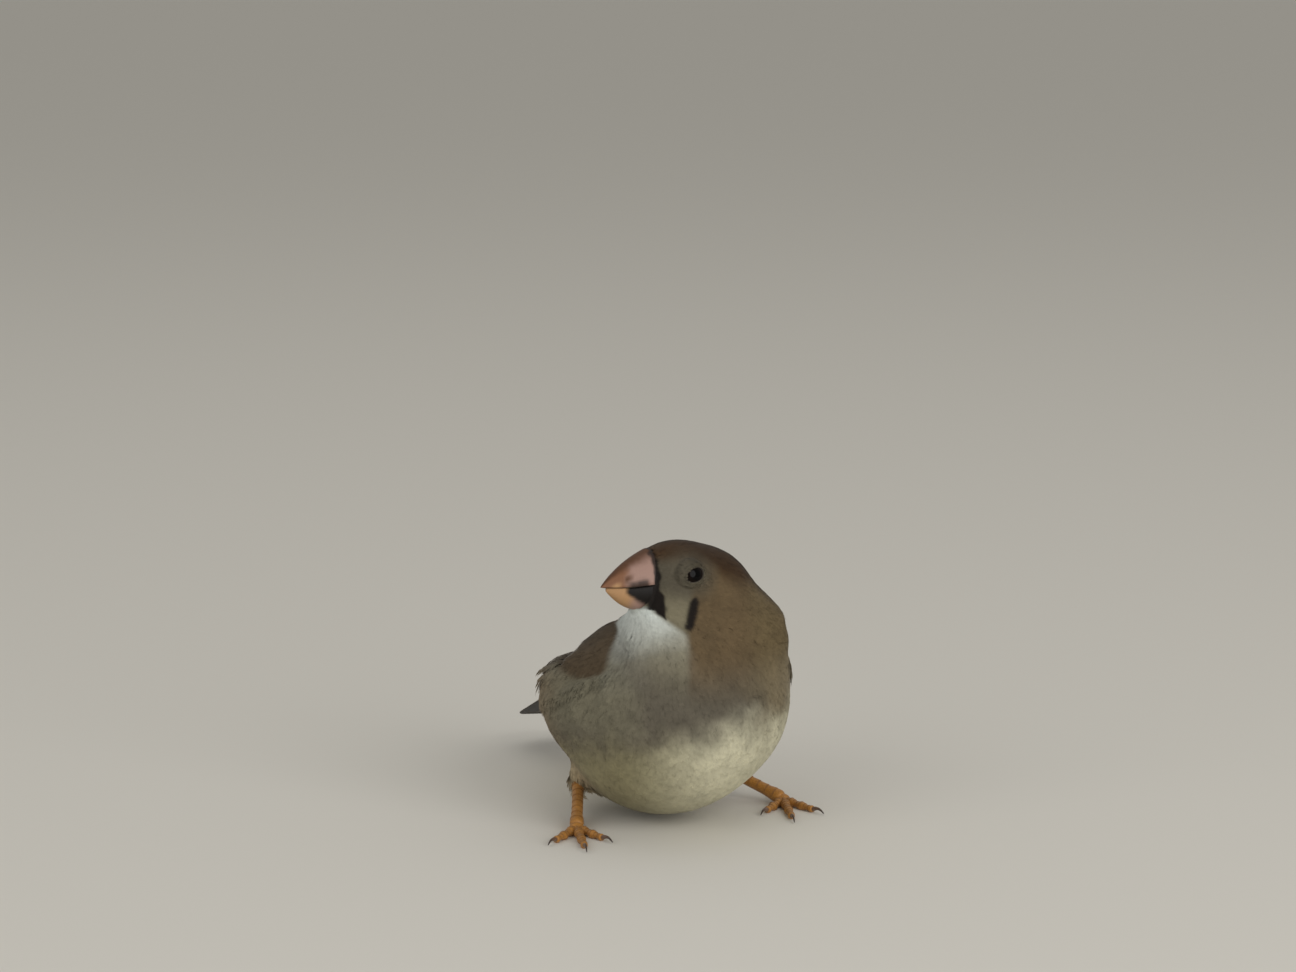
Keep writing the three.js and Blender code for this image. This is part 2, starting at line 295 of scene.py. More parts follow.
def plumage(points):
    """The colour of the feathers at each point of the bird. Skin and coat both take it."""
    x, y, z = points[..., 0], points[..., 1], points[..., 2]
    waver = 1.2 * cloudy(points, 3.0, 1) + 0.7 * cloudy(points, 1.3, 2)
    front = 0.94 * x - 0.342 * y  # across the side of the breast that the throat is turned to

    # Trunk: grey-brown back and breast, cream belly that darkens towards the bird's right partly as buff and
    # partly as painted shade, buff flanks, white and black over the tail
    right = smooth(-x + waver, 8.5, 13) * smooth(z, 13, 19) * (y < 4)
    belly_line = np.interp(x, (-15, -8, -3, 2, 6, 9, 13), (13.2, 14.7, 15.6, 17.4, 17.9, 17.3, 17.6))
    pale = fade(z + 1.3 * waver, belly_line - 4.4, belly_line + 4.0)
    behind = smooth(y + waver, -5, 6) * smooth(np.abs(x), 8, 13)
    tail_line = mix(15.5 - 0.42 * np.maximum(y - 8, 0), tail_top(y), smooth(y, 20, 29))
    low = fade(z + 0.5 * waver, tail_line - 2.5, tail_line + 2.5 - 2 * smooth(y, 20, 29))
    colour = laid_over(
        even(BREAST, points),
        (BREAST_SIDE, right * 0.8),
        (SIDE, smooth(x + 0.25 * z + waver, 9, 18) * fade(y, 4, 9)),
        # The belly darkens towards the bird's right: partly buff, partly painted shade
        (blend(BELLY_SIDE_AND_SHADE, BELLY, smooth(front, -7, 8)), pale),
        (FLANK, behind * fade(z, 20, 25)),
        (BACK, smooth(z - 0.05 * y + waver, 22, 27) * smooth(y, -4, 3)),
        (VENT, smooth(y, 6, 18) * low),
        (RUMP_SIDE, smooth(y, 14, 20) * (1 - low) * stripe(np.abs(x), 6.6, 1.9, 1.6)),
        (TAIL, smooth(y, 27, 31) * (1 - low) * fade(np.abs(x), 4.6, 5.6)),
        (SHANK, fade(z, 7, 9.5) * smooth(np.abs(x), 8, 11) * smooth(y, -1, 3)),
    )

    # Head: brown crown, made darker on the top and back of the head as painted shade, nape and cheek, grey face
    # with a pale bar below the eye
    left, ahead, up = head_places(points)
    middle = fade(np.abs(left), 2.0, 6.0) * smooth(up, -6, 0) * smooth(-ahead, -2, 4)
    face = smooth(ahead + 0.2 * waver, 3.2, 4.6) * fade(up, 2.6, 5.0)
    ring = fade(np.hypot(ahead - EYE_PLACE[0], up - EYE_PLACE[1]) + 0.3 * waver, 1.6, 5.0)
    head = laid_over(
        even(CHEEK, points),
        # The crown's colour reaches back and down the head, partly as painted shade of its rim
        (CROWN_AND_SHADE, smooth(up + 0.4 * waver + 0.35 * np.clip(-ahead, 0, 5), 1.2, 4.6)),
        (FOREHEAD, smooth(ahead, 3.5, 7.0) * smooth(up, 2.0, 4.4)),
        (NAPE, smooth(-ahead + 0.4 * waver, 3.5, 9.5) * fade(up, 0.0, 4.5) * 0.85),
        # The crown's colour again down the middle of the back of the head, partly painted shade
        (CROWN_AND_SHADE, middle * 0.7),
        (FACE_GREY, face),
        (FACE_BAR, face * fade(up, -3.6, 0.6)),
        (FACE_GREY, ring * (np.abs(left) > 3) * 0.75),
    )

    # Throat: a pale bib that widens from the bill down to a soft edge on the breast
    near_edge = np.interp(z, (26.0, 28.0, 29.6, 31.3, 33.0, 34.5), (4.6, 4.0, 3.3, 2.5, 0.3, -1.8))
    far_edge = np.interp(z, (28.0, 29.6, 31.3, 33.0, 34.5), (-9.4, -8.8, -7.4, -6.8, -7.2))
    across = front + 0.35 * waver
    bib = smooth(across, far_edge - 0.7, far_edge + 0.7) * fade(across, near_edge - 0.8, near_edge + 1.1)
    height = z - 0.3 * (front + 1.5) + 0.5 * waver
    bib = bib * np.interp(height, (23.5, 26.3, 28.0, 29.6, 31.3, 34.5), (0.0, 0.03, 0.07, 0.28, 0.52, 1.0))
    bib = bib * fade(up, -3.5, -2.9) * fade(y, -1, 3)

    # The black lines of the face, shorter on the far side: one at the root of the bill, one below the eye
    fine = 0.25 * cloudy(points, 0.9, 3)
    ups = (-5.1, -4.4, -3.6, -2.6, -1.5, 0.0, 5.7)
    lore_back = np.interp(up, ups, (6.45, 6.5, 6.6, 6.75, 7.15, 7.7, 7.85))
    lore_front = np.interp(up, ups, (6.5, 7.1, 7.8, 12.0, 12.0, 12.0, 12.0))
    lore = smooth(ahead + fine, lore_back - 0.2, lore_back + 0.25)
    lore = lore * fade(ahead + fine, lore_front - 0.25, lore_front + 0.2)
    low_end = np.where(left > 0, -5.4, -3.2)
    lore = lore * smooth(up, low_end, low_end + 0.6) * fade(up, 5.4, 6.2) * smooth(np.abs(left), 1.6, 2.6)
    tear_half = np.interp(up, (-6.5, -5.6, -3.2, -2.0, -1.3), (0.1, 0.55, 0.8, 0.7, 0.2))
    tear = stripe(ahead + fine, 3.3 - 0.08 * (up + 2.1), tear_half, 0.5)
    low_end = np.where(left > 0, -6.8, -4.4)
    tear = tear * smooth(up, low_end, low_end + 0.8) * fade(up, -1.6, -0.9) * (np.abs(left) > 4)
    colour = laid_over(
        colour,
        (head, over_head(points, -3.5, 3.0)),
        (THROAT, bib),
        (WING, wing_shows(points, 0.035)),
        (BLACK, lore),
        (BLACK, tear),
    )
    mottle = 1 + 0.10 * cloudy(points, 2.2, 4) + 0.07 * cloudy(points, 0.8, 5)
    return np.clip(colour * mottle[..., None], 0, 1)


# Surfaces


def read(items, name, size, kind=np.float32):
    """One property of all the items of a mesh, as rows of this many numbers."""
    flat = np.empty(len(items) * size, kind)
    items.foreach_get(name, flat)
    return flat.reshape(-1, size)


def write(items, name, values, kind=np.float32):
    items.foreach_set(name, values.astype(kind).ravel())


def mesh_from(name, points, faces, material):
    """A mesh from arrays of millimetre points and triangles."""
    mesh = bpy.data.meshes.new(name)
    mesh.vertices.add(len(points))
    write(mesh.vertices, "co", to_frame(points))
    mesh.loops.add(faces.size)
    write(mesh.loops, "vertex_index", faces, np.int32)
    mesh.polygons.add(len(faces))
    write(mesh.polygons, "loop_start", np.arange(len(faces)) * 3, np.int32)
    mesh.update(calc_edges=True)
    mesh.shade_smooth()
    mesh.materials.append(material)
    return mesh


def paint(mesh, colours):
    """Writes the piece's own colours, one for each vertex."""
    layer = mesh.color_attributes.new("Tint", "FLOAT_COLOR", "POINT")
    full = np.ones((len(mesh.vertices), 4), np.float32)
    full[:, :3] = np.clip(colours, 0, 1)
    write(layer.data, "color", full)


def vertex_points(mesh):
    return to_bird(read(mesh.vertices, "co", 3))


def vertex_normals(mesh):
    return read(mesh.vertex_normals, "vector", 3).astype(float)


class Surface:
    """A mesh, in the bird's millimetres, that tells its nearest point and normal."""

    def __init__(self, mesh, uv_name):
        mesh.calc_loop_triangles()
        self.points = vertex_points(mesh)
        self.normals = vertex_normals(mesh)
        self.triangles = read(mesh.loop_triangles, "vertices", 3, np.int32)
        corners = read(mesh.loop_triangles, "loops", 3, np.int32)
        self.places = read(mesh.uv_layers[uv_name].uv, "vector", 2)[corners]
        self.tree = BVHTree.FromPolygons(self.points.tolist(), self.triangles.tolist())

    def face_normals(self, faces):
        return unit(self.normals[self.triangles[faces]].mean(1))

    def nearest(self, points):
        found = [self.tree.find_nearest(p) for p in points.tolist()]
        at = np.array([tuple(f[0]) for f in found])
        return at, self.face_normals(np.array([f[2] for f in found]))


def add_piece(name, mesh, slot, *replaced):
    """Puts a finished mesh in the scene as a piece of the bird."""
    piece = bpy.data.objects.new(name, mesh)
    bpy.context.scene.collection.objects.link(piece)
    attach(piece, "root")
    if replaced:
        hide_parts(*replaced)
    return piece


# Materials


def add_node(tree, kind, settings, links=None):
    """A node with its settings and the sockets that feed it."""
    made = tree.nodes.new(kind)
    for name, value in settings.items():
        if isinstance(name, int) or name in made.inputs:
            made.inputs[name].default_value = value
        else:
            setattr(made, name, value)
    for name, source in (links or {}).items():
        tree.links.new(source, made.inputs[name])
    return made


def new_material(name, settings):
    """A material with one shader; returns it with its node tree and shader."""
    material = bpy.data.materials.new(name)
    material.use_nodes = True
    tree = material.node_tree
    tree.nodes.clear()
    shader = add_node(tree, "ShaderNodeBsdfPrincipled", settings)
    add_node(tree, "ShaderNodeOutputMaterial", {}, {"Surface": shader.outputs["BSDF"]})
    return material, tree, shader


def shade_and_raise(tree, shader, value, shades, height, depth):
    """Shades the piece's own colours by a pattern, and lets one stand out by a depth in metres."""
    tint = add_node(tree, "ShaderNodeAttribute", {"attribute_name": "Tint"})
    span = add_node(tree, "ShaderNodeMapRange", {3: shades[0], 4: shades[1]}, {"Value": value})
    sources = {0: tint.outputs["Color"], "Scale": span.outputs["Result"]}
    shade = add_node(tree, "ShaderNodeVectorMath", {"operation": "SCALE"}, sources)
    tree.links.new(shade.outputs["Vector"], shader.inputs["Base Color"])
    if depth:
        bump = add_node(tree, "ShaderNodeBump", {"Strength": 0.6, "Distance": depth}, {"Height": height})
        tree.links.new(bump.outputs["Normal"], shader.inputs["Normal"])


def patterned(name, finish, texture, settings, shades, depth=0.0, stretch=None):
    """A material with one texture, on Object coordinates or stretched along the piece's own map."""
    material, tree, shader = new_material(name, finish)
    if stretch:
        own = add_node(tree, "ShaderNodeUVMap", {"uv_map": "Vane"})
        drawn = add_node(tree, "ShaderNodeMapping", {"Scale": stretch}, {"Vector": own.outputs["UV"]})
        place = drawn.outputs["Vector"]
    else:
        place = add_node(tree, "ShaderNodeTexCoord", {}).outputs["Object"]
    value = add_node(tree, texture, settings, {"Vector": place}).outputs[0]
    shade_and_raise(tree, shader, value, shades, value, depth)
    return material


def contour_feather():
    """Contour feather, dry keratin barbs: soft and matt, with a faint velvet rim."""
    finish = {"Roughness": 0.8, "IOR": 1.55, "Specular IOR Level": 0.15, "Sheen Weight": 0.05}
    # Barbules darken and lighten a barb every 0.3 mm; real ones are ten times finer.
    grain = {"Scale": 1800.0, "Detail": 2.0, "Roughness": 0.6}
    return patterned("contour_feather_barbs", finish, "ShaderNodeTexNoise", grain, (0.84, 1.14))


def flight_feather():
    """Flight feather, a firm vane of locked barbs: a low silky gloss and fine slanting lines."""
    finish = {"Roughness": 0.55, "IOR": 1.55, "Specular IOR Level": 0.3, "Sheen Weight": 0.08}
    material, tree, shader = new_material("flight_feather_vane", finish)
    place = add_node(tree, "ShaderNodeUVMap", {"uv_map": "Vane"})
    parts = add_node(tree, "ShaderNodeSeparateXYZ", {}, {0: place.outputs["UV"]})
    off = add_node(tree, "ShaderNodeMath", {"operation": "SUBTRACT", 1: 0.5}, {0: parts.outputs["X"]})
    across = add_node(tree, "ShaderNodeMath", {"operation": "ABSOLUTE"}, {0: off.outputs[0]}).outputs[0]
    slant = add_node(tree, "ShaderNodeMath", {"operation": "MULTIPLY", 1: -0.16}, {0: across})
    sources = {0: slant.outputs[0], 1: parts.outputs["Y"]}
    along = add_node(tree, "ShaderNodeMath", {"operation": "ADD"}, sources)
    # About 90 barbs to a feather, or one every 0.3 mm, as coarse as a close view needs
    turns = add_node(tree, "ShaderNodeMath", {"operation": "MULTIPLY", 1: 570.0}, {0: along.outputs[0]})
    wave = add_node(tree, "ShaderNodeMath", {"operation": "SINE"}, {0: turns.outputs[0]})
    ridges = {1: -1.0, 2: 1.0, 3: 0.0, 4: 0.35}
    barbs = add_node(tree, "ShaderNodeMapRange", ridges, {0: wave.outputs[0]}).outputs[0]
    middle = {1: 0.008, 2: 0.026, 3: 1.0, 4: 0.0}
    shaft = add_node(tree, "ShaderNodeMapRange", middle, {0: across}).outputs[0]
    height = add_node(tree, "ShaderNodeMath", {"operation": "ADD"}, {0: barbs, 1: shaft}).outputs[0]
    shade_and_raise(tree, shader, barbs, (0.86, 1.3), height, 0.00006)
    return material


def feather_skin():
    """Bird skin under the feathers: thin, matt and finely wrinkled."""
    finish = {"Roughness": 0.7, "IOR": 1.42, "Specular IOR Level": 0.3}
    pores = {"Scale": 3200.0, "feature": "SMOOTH_F1"}
    return patterned("feather_tract_skin", finish, "ShaderNodeTexVoronoi", pores, (0.92, 1.08), 0.00005)


def bill_horn():
    """Horn of the bill, grown in thin layers: smooth and waxy, with faint lines of growth."""
    finish = {"Roughness": 0.5, "IOR": 1.55, "Specular IOR Level": 0.2}
    growth = {"Scale": 1.0, "Detail": 3.0, "Roughness": 0.6}
    stretch = (3.0, 34.0, 1.0)
    return patterned("bill_horn_waxy", finish, "ShaderNodeTexNoise", growth, (0.93, 1.06), 0.00003, stretch)


def wet_eye():
    """Cornea kept wet by the lids: a hard, clear gloss over a nearly black iris."""
    finish = {"Roughness": 0.05, "IOR": 1.376, "Specular IOR Level": 0.12}
    fibres = {"Scale": 2600.0, "Detail": 2.0}
    return patterned("wet_cornea_dark_iris", finish, "ShaderNodeTexNoise", fibres, (0.8, 1.2))


def leg_scales():
    """Scaled skin of the legs, dry and slightly waxy, with net-like small scales between."""
    finish = {"Roughness": 0.5, "IOR": 1.5, "Specular IOR Level": 0.35, "Sheen Weight": 0.05}
    # Small scales of 0.25 mm
    cells = {"Scale": 4000.0, "feature": "SMOOTH_F1", "Smoothness": 0.3}
    return patterned("leg_scutes_and_skin", finish, "ShaderNodeTexVoronoi", cells, (1.1, 0.74), -0.00005)


def claw_horn():
    """Horn of the claws: hard, smooth, and darker towards the point."""
    finish = {"Roughness": 0.34, "IOR": 1.55, "Specular IOR Level": 0.5}
    fibres = {"Scale": 1.0, "Detail": 2.0}
    stretch = (14.0, 2.0, 1.0)
    return patterned("claw_horn_polished", finish, "ShaderNodeTexNoise", fibres, (0.8, 1.2), 0.00003, stretch)


# Skin


def eye_frame(side):
    """The middle of an eyeball and its axes: along the lids towards the back, up, and outwards."""
    low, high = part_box("eye_left" if side > 0 else "eye_right")
    centre = to_bird([(low + high) / 2])[0]
    back = HEAD_TURN @ np.array((0.0, 1.0, 0.0))
    up = HEAD_TURN @ np.array((0.0, 0.0, 1.0))
    out = HEAD_TURN @ np.array((float(side), 0.0, 0.0))
    along = back * math.cos(EYE_SLANT) + up * math.sin(EYE_SLANT)
    across = up * math.cos(EYE_SLANT) - back * math.sin(EYE_SLANT)
    return centre, np.array((along, across, out))


def eye_places(points, side):
    """The middle of an eye, and each point in its frame: along the lids, up across them, and out."""
    centre, axes = eye_frame(side)
    return centre, (points - centre) @ axes.T


def lid_share(points, side):
    """How many times the half-opening of the lids each point lies from the middle of the eye."""
    centre, local = eye_places(points, side)
    local = local * (EYE_RADIUS + 0.2) / np.linalg.norm(local, axis=-1, keepdims=True)
    share = np.hypot(local[..., 0] / EYE_OPENING[0], local[..., 1] / EYE_OPENING[1])
    far = np.linalg.norm(points - centre, axis=-1) - EYE_RADIUS
    return np.where(local[..., 2] > 0, share + smooth(far, 1.0, 3.0) * 3, 99.0)


def eye_ring(points):
    """How far each point lies from the middle of an eye, in millimetres across the face."""
    left, ahead, up = head_places(points)
    return np.hypot(ahead - EYE_PLACE[0], up - EYE_PLACE[1]) + 20 * (np.abs(left) < 3)


def on_shank(points):
    """1 on the feathered part of the legs."""
    x, y, z = points[..., 0], points[..., 1], points[..., 2]
    return fade(z, 5.8, 10) * smooth(np.abs(x), 8.5, 11) * smooth(y, -1, 3)


def bill_distance(points):
    """How far each point lies from the root of the bill, in millimetres."""
    left, ahead, up = head_places(points)
    return np.sqrt(left**2 + (ahead - 9.0) ** 2 + (up - 1.0) ** 2)


def coat_depth(points):
    """How deep the coat is at each point, in millimetres."""
    head = mix(0.22, 0.45, smooth(bill_distance(points), 2.5, 16))
    head = mix(0.16, head, smooth(eye_ring(points), 1.6, 6.5))
    body = mix(0.6, 0.4, on_shank(points))
    body = mix(body, 0.95, wing_cover(points))
    return mix(body, head, over_head(points, -4, 3))


def add_root(bm, name, place, way):
    """Adds the solid of a node as far as a plane, beyond which only its feathers reach."""
    root = bmesh.new()
    root.from_mesh(frame["nodes"][name].data)
    bmesh.ops.remove_doubles(root, verts=root.verts, dist=1e-6)
    bmesh.ops.bisect_plane(
        root,
        geom=root.verts[:] + root.edges[:] + root.faces[:],
        plane_co=Vector(to_frame([place])[0]),
        plane_no=Vector(way),
        clear_outer=True,
    )
    bmesh.ops.holes_fill(root, edges=[e for e in root.edges if e.is_boundary], sides=0)
    mesh = bpy.data.meshes.new(name + "_root")
    root.to_mesh(mesh)
    root.free()
    bm.from_mesh(mesh)
    bpy.data.meshes.remove(mesh)


def flesh_mesh(closing, voxel):
    """The solids of the flesh as one closed mesh; `closing` pushes them out to shut their gaps."""
    bm = bmesh.new()
    for name in FLESH + UNDER_FEATHERS:
        bm.from_mesh(frame["nodes"][name].data)
    slope = math.radians(TAIL_SLOPE)
    add_root(bm, "tail", (0, 37.0, 13.7), (0, math.cos(slope), math.sin(slope)))
    for name in ("wing_left", "wing_right"):
        add_root(bm, name, (0, 28.0, 17.0), (0, 1, 0))
    for _, (_, heel, foot), _ in LEGS.values():
        down = Vector(foot - heel).normalized()
        top = Vector(to_frame([heel])[0])
        middle = Matrix.Translation(top + down * BOOT / 2 * MM)
        bmesh.ops.create_icosphere(
            bm, subdivisions=3, radius=BOOT_RADII[0] * MM, matrix=Matrix.Translation(top)
        )
        bmesh.ops.create_cone(
            bm,
            cap_ends=True,
            segments=12,
            radius1=BOOT_RADII[0] * MM,
            radius2=BOOT_RADII[1] * MM,
            depth=BOOT * MM,
            matrix=middle @ down.to_track_quat("Z", "Y").to_matrix().to_4x4(),
        )
    bmesh.ops.remove_doubles(bm, verts=bm.verts, dist=1e-6)
    bm.normal_update()
    for vert in bm.verts:
        vert.co += vert.normal * closing
    mesh = bpy.data.meshes.new("flesh")
    bm.to_mesh(mesh)
    bm.free()
    whole = bpy.data.objects.new("flesh", mesh)
    bpy.context.scene.collection.objects.link(whole)
    remesh = whole.modifiers.new("One skin", "REMESH")
    remesh.mode = "VOXEL"
    remesh.voxel_size = voxel
    remesh.adaptivity = 0
    depsgraph = bpy.context.evaluated_depsgraph_get()
    result = bpy.data.meshes.new_from_object(whole.evaluated_get(depsgraph))
    bpy.data.objects.remove(whole)
    bpy.data.meshes.remove(mesh)
    return result


def relax(bm, times):
    for _ in range(times):
        bmesh.ops.smooth_vert(
            bm, verts=bm.verts, factor=0.5, use_axis_x=True, use_axis_y=True, use_axis_z=True
        )


def shape_lids(bm, side):
    """Lets the skin lie on an eyeball as two lids, with a rolled rim round the gap."""

    def places():
        points = to_bird([v.co for v in bm.verts])
        centre, local = eye_places(points, side)
        return points, centre, local, np.hypot(local[:, 0], local[:, 1])


    for reach in (3.6, 2.7):
        _, _, local, ring = places()
        close = (ring < reach) & (local[:, 2] > 0)
        edges = [e for e in bm.edges if close[e.verts[0].index] and close[e.verts[1].index]]
        bmesh.ops.subdivide_edges(bm, edges=edges, cuts=1, use_grid_fill=True)
        bm.verts.index_update()
        bm.verts.ensure_lookup_table()
    points, centre, local, ring = places()
    share = lid_share(points, side)
    reach = np.linalg.norm(local, axis=1)
    fold = 0.05 * np.cos((share - 1.0) * 11.0) * fade(share, 1.5, 2.0)
    lid = EYE_RADIUS + 0.22 * smooth(share, 0.93, 1.12) - 0.5 * fade(share, 0.86, 0.98) + fold
    wanted = mix(lid, reach, smooth(ring, 1.7, 2.9))
    moves = (local[:, 2] > 0.3) & (ring < 2.9)
    moved = centre + unit(points - centre) * wanted[:, None]
    for index in np.nonzero(moves)[0]:
        bm.verts[index].co = to_frame([moved[index]])[0]


def build_skin(settings):
    """The skin, lying inside the solids by the depth of the coat."""
    closing = 0.2
    mesh = flesh_mesh(closing * MM, settings.grain)
    bm = bmesh.new()
    bm.from_mesh(mesh)
    relax(bm, 14)
    bm.to_mesh(mesh)
    points = vertex_points(mesh)
    depth = coat_depth(points)
    # The coat stands out past the solids by a little: they are drawn where it looks dense.
    fluff = 0.25 * (1 - over_head(points, -4, 3))
    nape = fade(np.linalg.norm(points - (14.2, -10.5, 30.4), axis=-1), 0.5, 6.0)
    fluff = fluff + 0.9 * nape
    depth = closing + mix(depth - fluff, settings.wing_bed / MM, wing_cover(points))
    # Smoothing has drawn the crown and the forehead in, and this puts them back.
    _, ahead, up = head_places(points)
    depth -= 0.36 * smooth(up, 1.5, 6.0) * fade(ahead, 8.6, 9.6) * smooth(ahead, -16, -8)
    inset = points - vertex_normals(mesh) * depth[:, None]
    for vert, co in zip(bm.verts, to_frame(inset)):
        vert.co = co
    relax(bm, 4)
    shape_lids(bm, 1)
    shape_lids(bm, -1)
    bm.to_mesh(mesh)
    bm.free()
    mesh.shade_smooth()
    mesh.materials.clear()
    mesh.materials.append(feather_skin())
    points = vertex_points(mesh)
    colours = plumage(points)
    for side in (1, -1):
        share = lid_share(points, side)
        colours = blend(colours, LID, fade(share, 1.35, 1.9))
        colours = blend(colours, LID_RIM, fade(share, 1.0, 1.16))
    paint(mesh, colours)
    skin = add_piece("skin", mesh, "plumage", *FLESH)
    unwrap(skin)
    return skin


def unwrap(piece):
    """Lays the piece's own surface out flat for its colours."""
    layer = piece.data.uv_layers.new(name="OFBake")
    piece.data.uv_layers.active = layer
    view = bpy.context.view_layer
    for other in view.objects:
        other.select_set(False)
    piece.select_set(True)
    view.objects.active = piece
    bpy.ops.object.mode_set(mode="EDIT")
    bpy.ops.mesh.select_all(action="SELECT")
    bpy.ops.uv.smart_project(angle_limit=math.radians(66), island_margin=0.004, scale_to_bounds=True)
    bpy.ops.object.mode_set(mode="OBJECT")
    piece.select_set(False)


# Coat

BILL_FRONT = from_head(0.0, 10.5, 1.0)
NECK_ROOT = np.array((-1.0, -8.0, 32.0))
TAIL_END = np.array((0.0, 52.0, 6.0))


def lie(points, normals):
    """Which way the feathers lie: back from the bill, down and back from the neck to the tail."""
    from_bill = unit(points - BILL_FRONT)
    from_neck = points - NECK_ROOT
    to_tail = TAIL_END - points
    flow = from_neck / np.linalg.norm(from_neck, axis=1, keepdims=True) ** 3
    flow = flow + 1.3 * to_tail / np.linalg.norm(to_tail, axis=1, keepdims=True) ** 3
    on_head = over_head(points, -6, 5)[:, None]
    way = mix(unit(flow), from_bill, on_head)
    for side, (hip, heel, foot), _ in LEGS.values():
        bone = unit(heel - hip)
        off = points - heel
        away = np.linalg.norm(off - (off @ bone)[:, None] * bone, axis=1)
        share = fade(away, 2.5, 5.0) * fade(points[:, 2], 8, 12) * (points[:, 0] * side > 0)
        hang = mix(unit(foot - heel) + (0, 0, -0.3), bone, smooth(points[:, 2], 5.5, 9.0)[:, None])
        way = way + 2.5 * unit(hang) * share[:, None]
    for side in (1, -1):
        centre, local = eye_places(points, side)
        ring = np.hypot(local[:, 0], local[:, 1])
        near = (fade(ring, 1.8, 3.6) * (local[:, 2] > 0))[:, None]
        away = unit(points - centre)
        inward = np.minimum((unit(way) * away).sum(-1, keepdims=True), 0)
        way = unit(way) + (0.1 - 0.9 * inward) * away * near
    sway = np.stack([cloudy(points, 5.0, seed) for seed in (11, 12, 13)], -1)
    sway = 0.2 * sway + 0.12 * np.stack([cloudy(points, 1.8, seed) for seed in (14, 15, 16)], -1)
    return flat_on(flat_on(way, normals) + sway, normals)


def feather_length(points):
    """How long the tuft rooted at each point is, in millimetres."""
    x, y = points[..., 0], points[..., 1]
    head = mix(0.8, 2.4, smooth(bill_distance(points), 2, 16))
    body = 2.9 + 0.7 * smooth(np.abs(x), 11, 16) + 0.8 * smooth(y, 12, 26)
    body = mix(body, 1.7, on_shank(points))
    length = mix(body, head, over_head(points, -5, 2))
    return np.minimum(length, 0.4 + 0.5 * np.maximum(eye_ring(points) - 1.6, 0))


def scatter(surface, crowding, wanted, rng):
    """Root places at least a share of their tufts' length apart, with the triangle each lies in."""
    corners = surface.points[surface.triangles]
    crossed = np.cross(corners[:, 1] - corners[:, 0], corners[:, 2] - corners[:, 0])
    area = np.linalg.norm(crossed, axis=1) / 2
    middles = corners.mean(1)
    gap = np.maximum(feather_length(middles) * crowding, 0.2)
    here = wanted(middles)
    weight = area / gap**2 * here
    picks = rng.choice(len(area), int(weight.sum() * 4), p=weight / weight.sum())
    a, b = rng.random(len(picks)), rng.random(len(picks))
    a, b = np.where(a + b > 1, 1 - a, a), np.where(a + b > 1, 1 - b, b)
    shares = np.stack([1 - a - b, a, b], -1)
    points = (corners[picks] * shares[..., None]).sum(1)
    gaps = gap[picks]
    cell = float(gap[here].max())
    near = {}
    kept = []
    keys = np.floor(points / cell).astype(int)
    around = [(i, j, k) for i in (-1, 0, 1) for j in (-1, 0, 1) for k in (-1, 0, 1)]
    for number, (point, reach, key) in enumerate(zip(points.tolist(), gaps.tolist(), keys.tolist())):
        others = (near.get((key[0] + i, key[1] + j, key[2] + k), ()) for i, j, k in around)
        if not any(math.dist(point, other) < reach for cell_mates in others for other in cell_mates):
            near.setdefault(tuple(key), []).append(point)
            kept.append(number)
    kept = np.array(kept)
    places = (surface.places[picks[kept]] * shares[kept][..., None]).sum(1)
    return points[kept], picks[kept], places


def barb_pattern(barbs, rng):
    """A tuft as barbs fanned out from its shaft: shares of its length and half-width, a small
    lift for each vertex in millimetres, and the triangles."""
    along, across, lift, faces = [], [], [], []
    step = 0.84 / barbs
    for number in range(barbs * 2):
        side = 1 if number % 2 else -1
        root = 0.1 + step * (number // 2) + rng.normal(0, step * 0.2)
        sweep = 0.56 * (1 - 0.5 * root) * (1 + rng.normal(0, 0.15))
        fullness = math.sqrt(max(0.05, 1 - max(0, (root - 0.3) / 0.68) ** 2)) * min(1, 0.7 + root)
        width = side * fullness * (1 + rng.normal(0, 0.10))
        rise = abs(rng.normal(0, 0.015))
        first = len(along)
        for share, spread, half in ((0, 0, 0.62), (0.56, 0.80, 0.58)):
            along += [root + sweep * share - step * half, root + sweep * share + step * half]
            across += [width * spread] * 2
            lift += [rise * share] * 2
        along.append(root + sweep)
        across.append(width)
        lift.append(rise - 0.015)
        for face in ((0, 1, 3), (0, 3, 2), (2, 3, 4)):
            faces.append([first + k for k in (face[::-1] if side > 0 else face)])
    return np.array(along), np.array(across), np.array(lift), np.array(faces)


def between(rows, at):
    """Values of `rows` (one line of stations each) at shares `at` of the line, 0 to 1."""
    stations = rows.shape[1] - 1
    place = np.clip(at, 0, 1.2) * stations
    first = np.minimum(place.astype(int), stations - 1)
    share = (place - first)[None, :, None]
    return rows[:, first] * (1 - share) + rows[:, first + 1] * share


def ruffle(points):
    """How far the feathers stand off the body where they are fluffed over the wing's lower edge."""
    along, share = wing_places(points)
    edge = stripe(share, flank_line(along, points[..., 0]) + 0.04, 0.06, 0.26)
    return 1.1 * edge * stripe(along, 0.35, 0.08, 0.14) * (points[..., 0] < 0)


TRIANGLE_LIMIT = 190_000  # of one piece of the coat


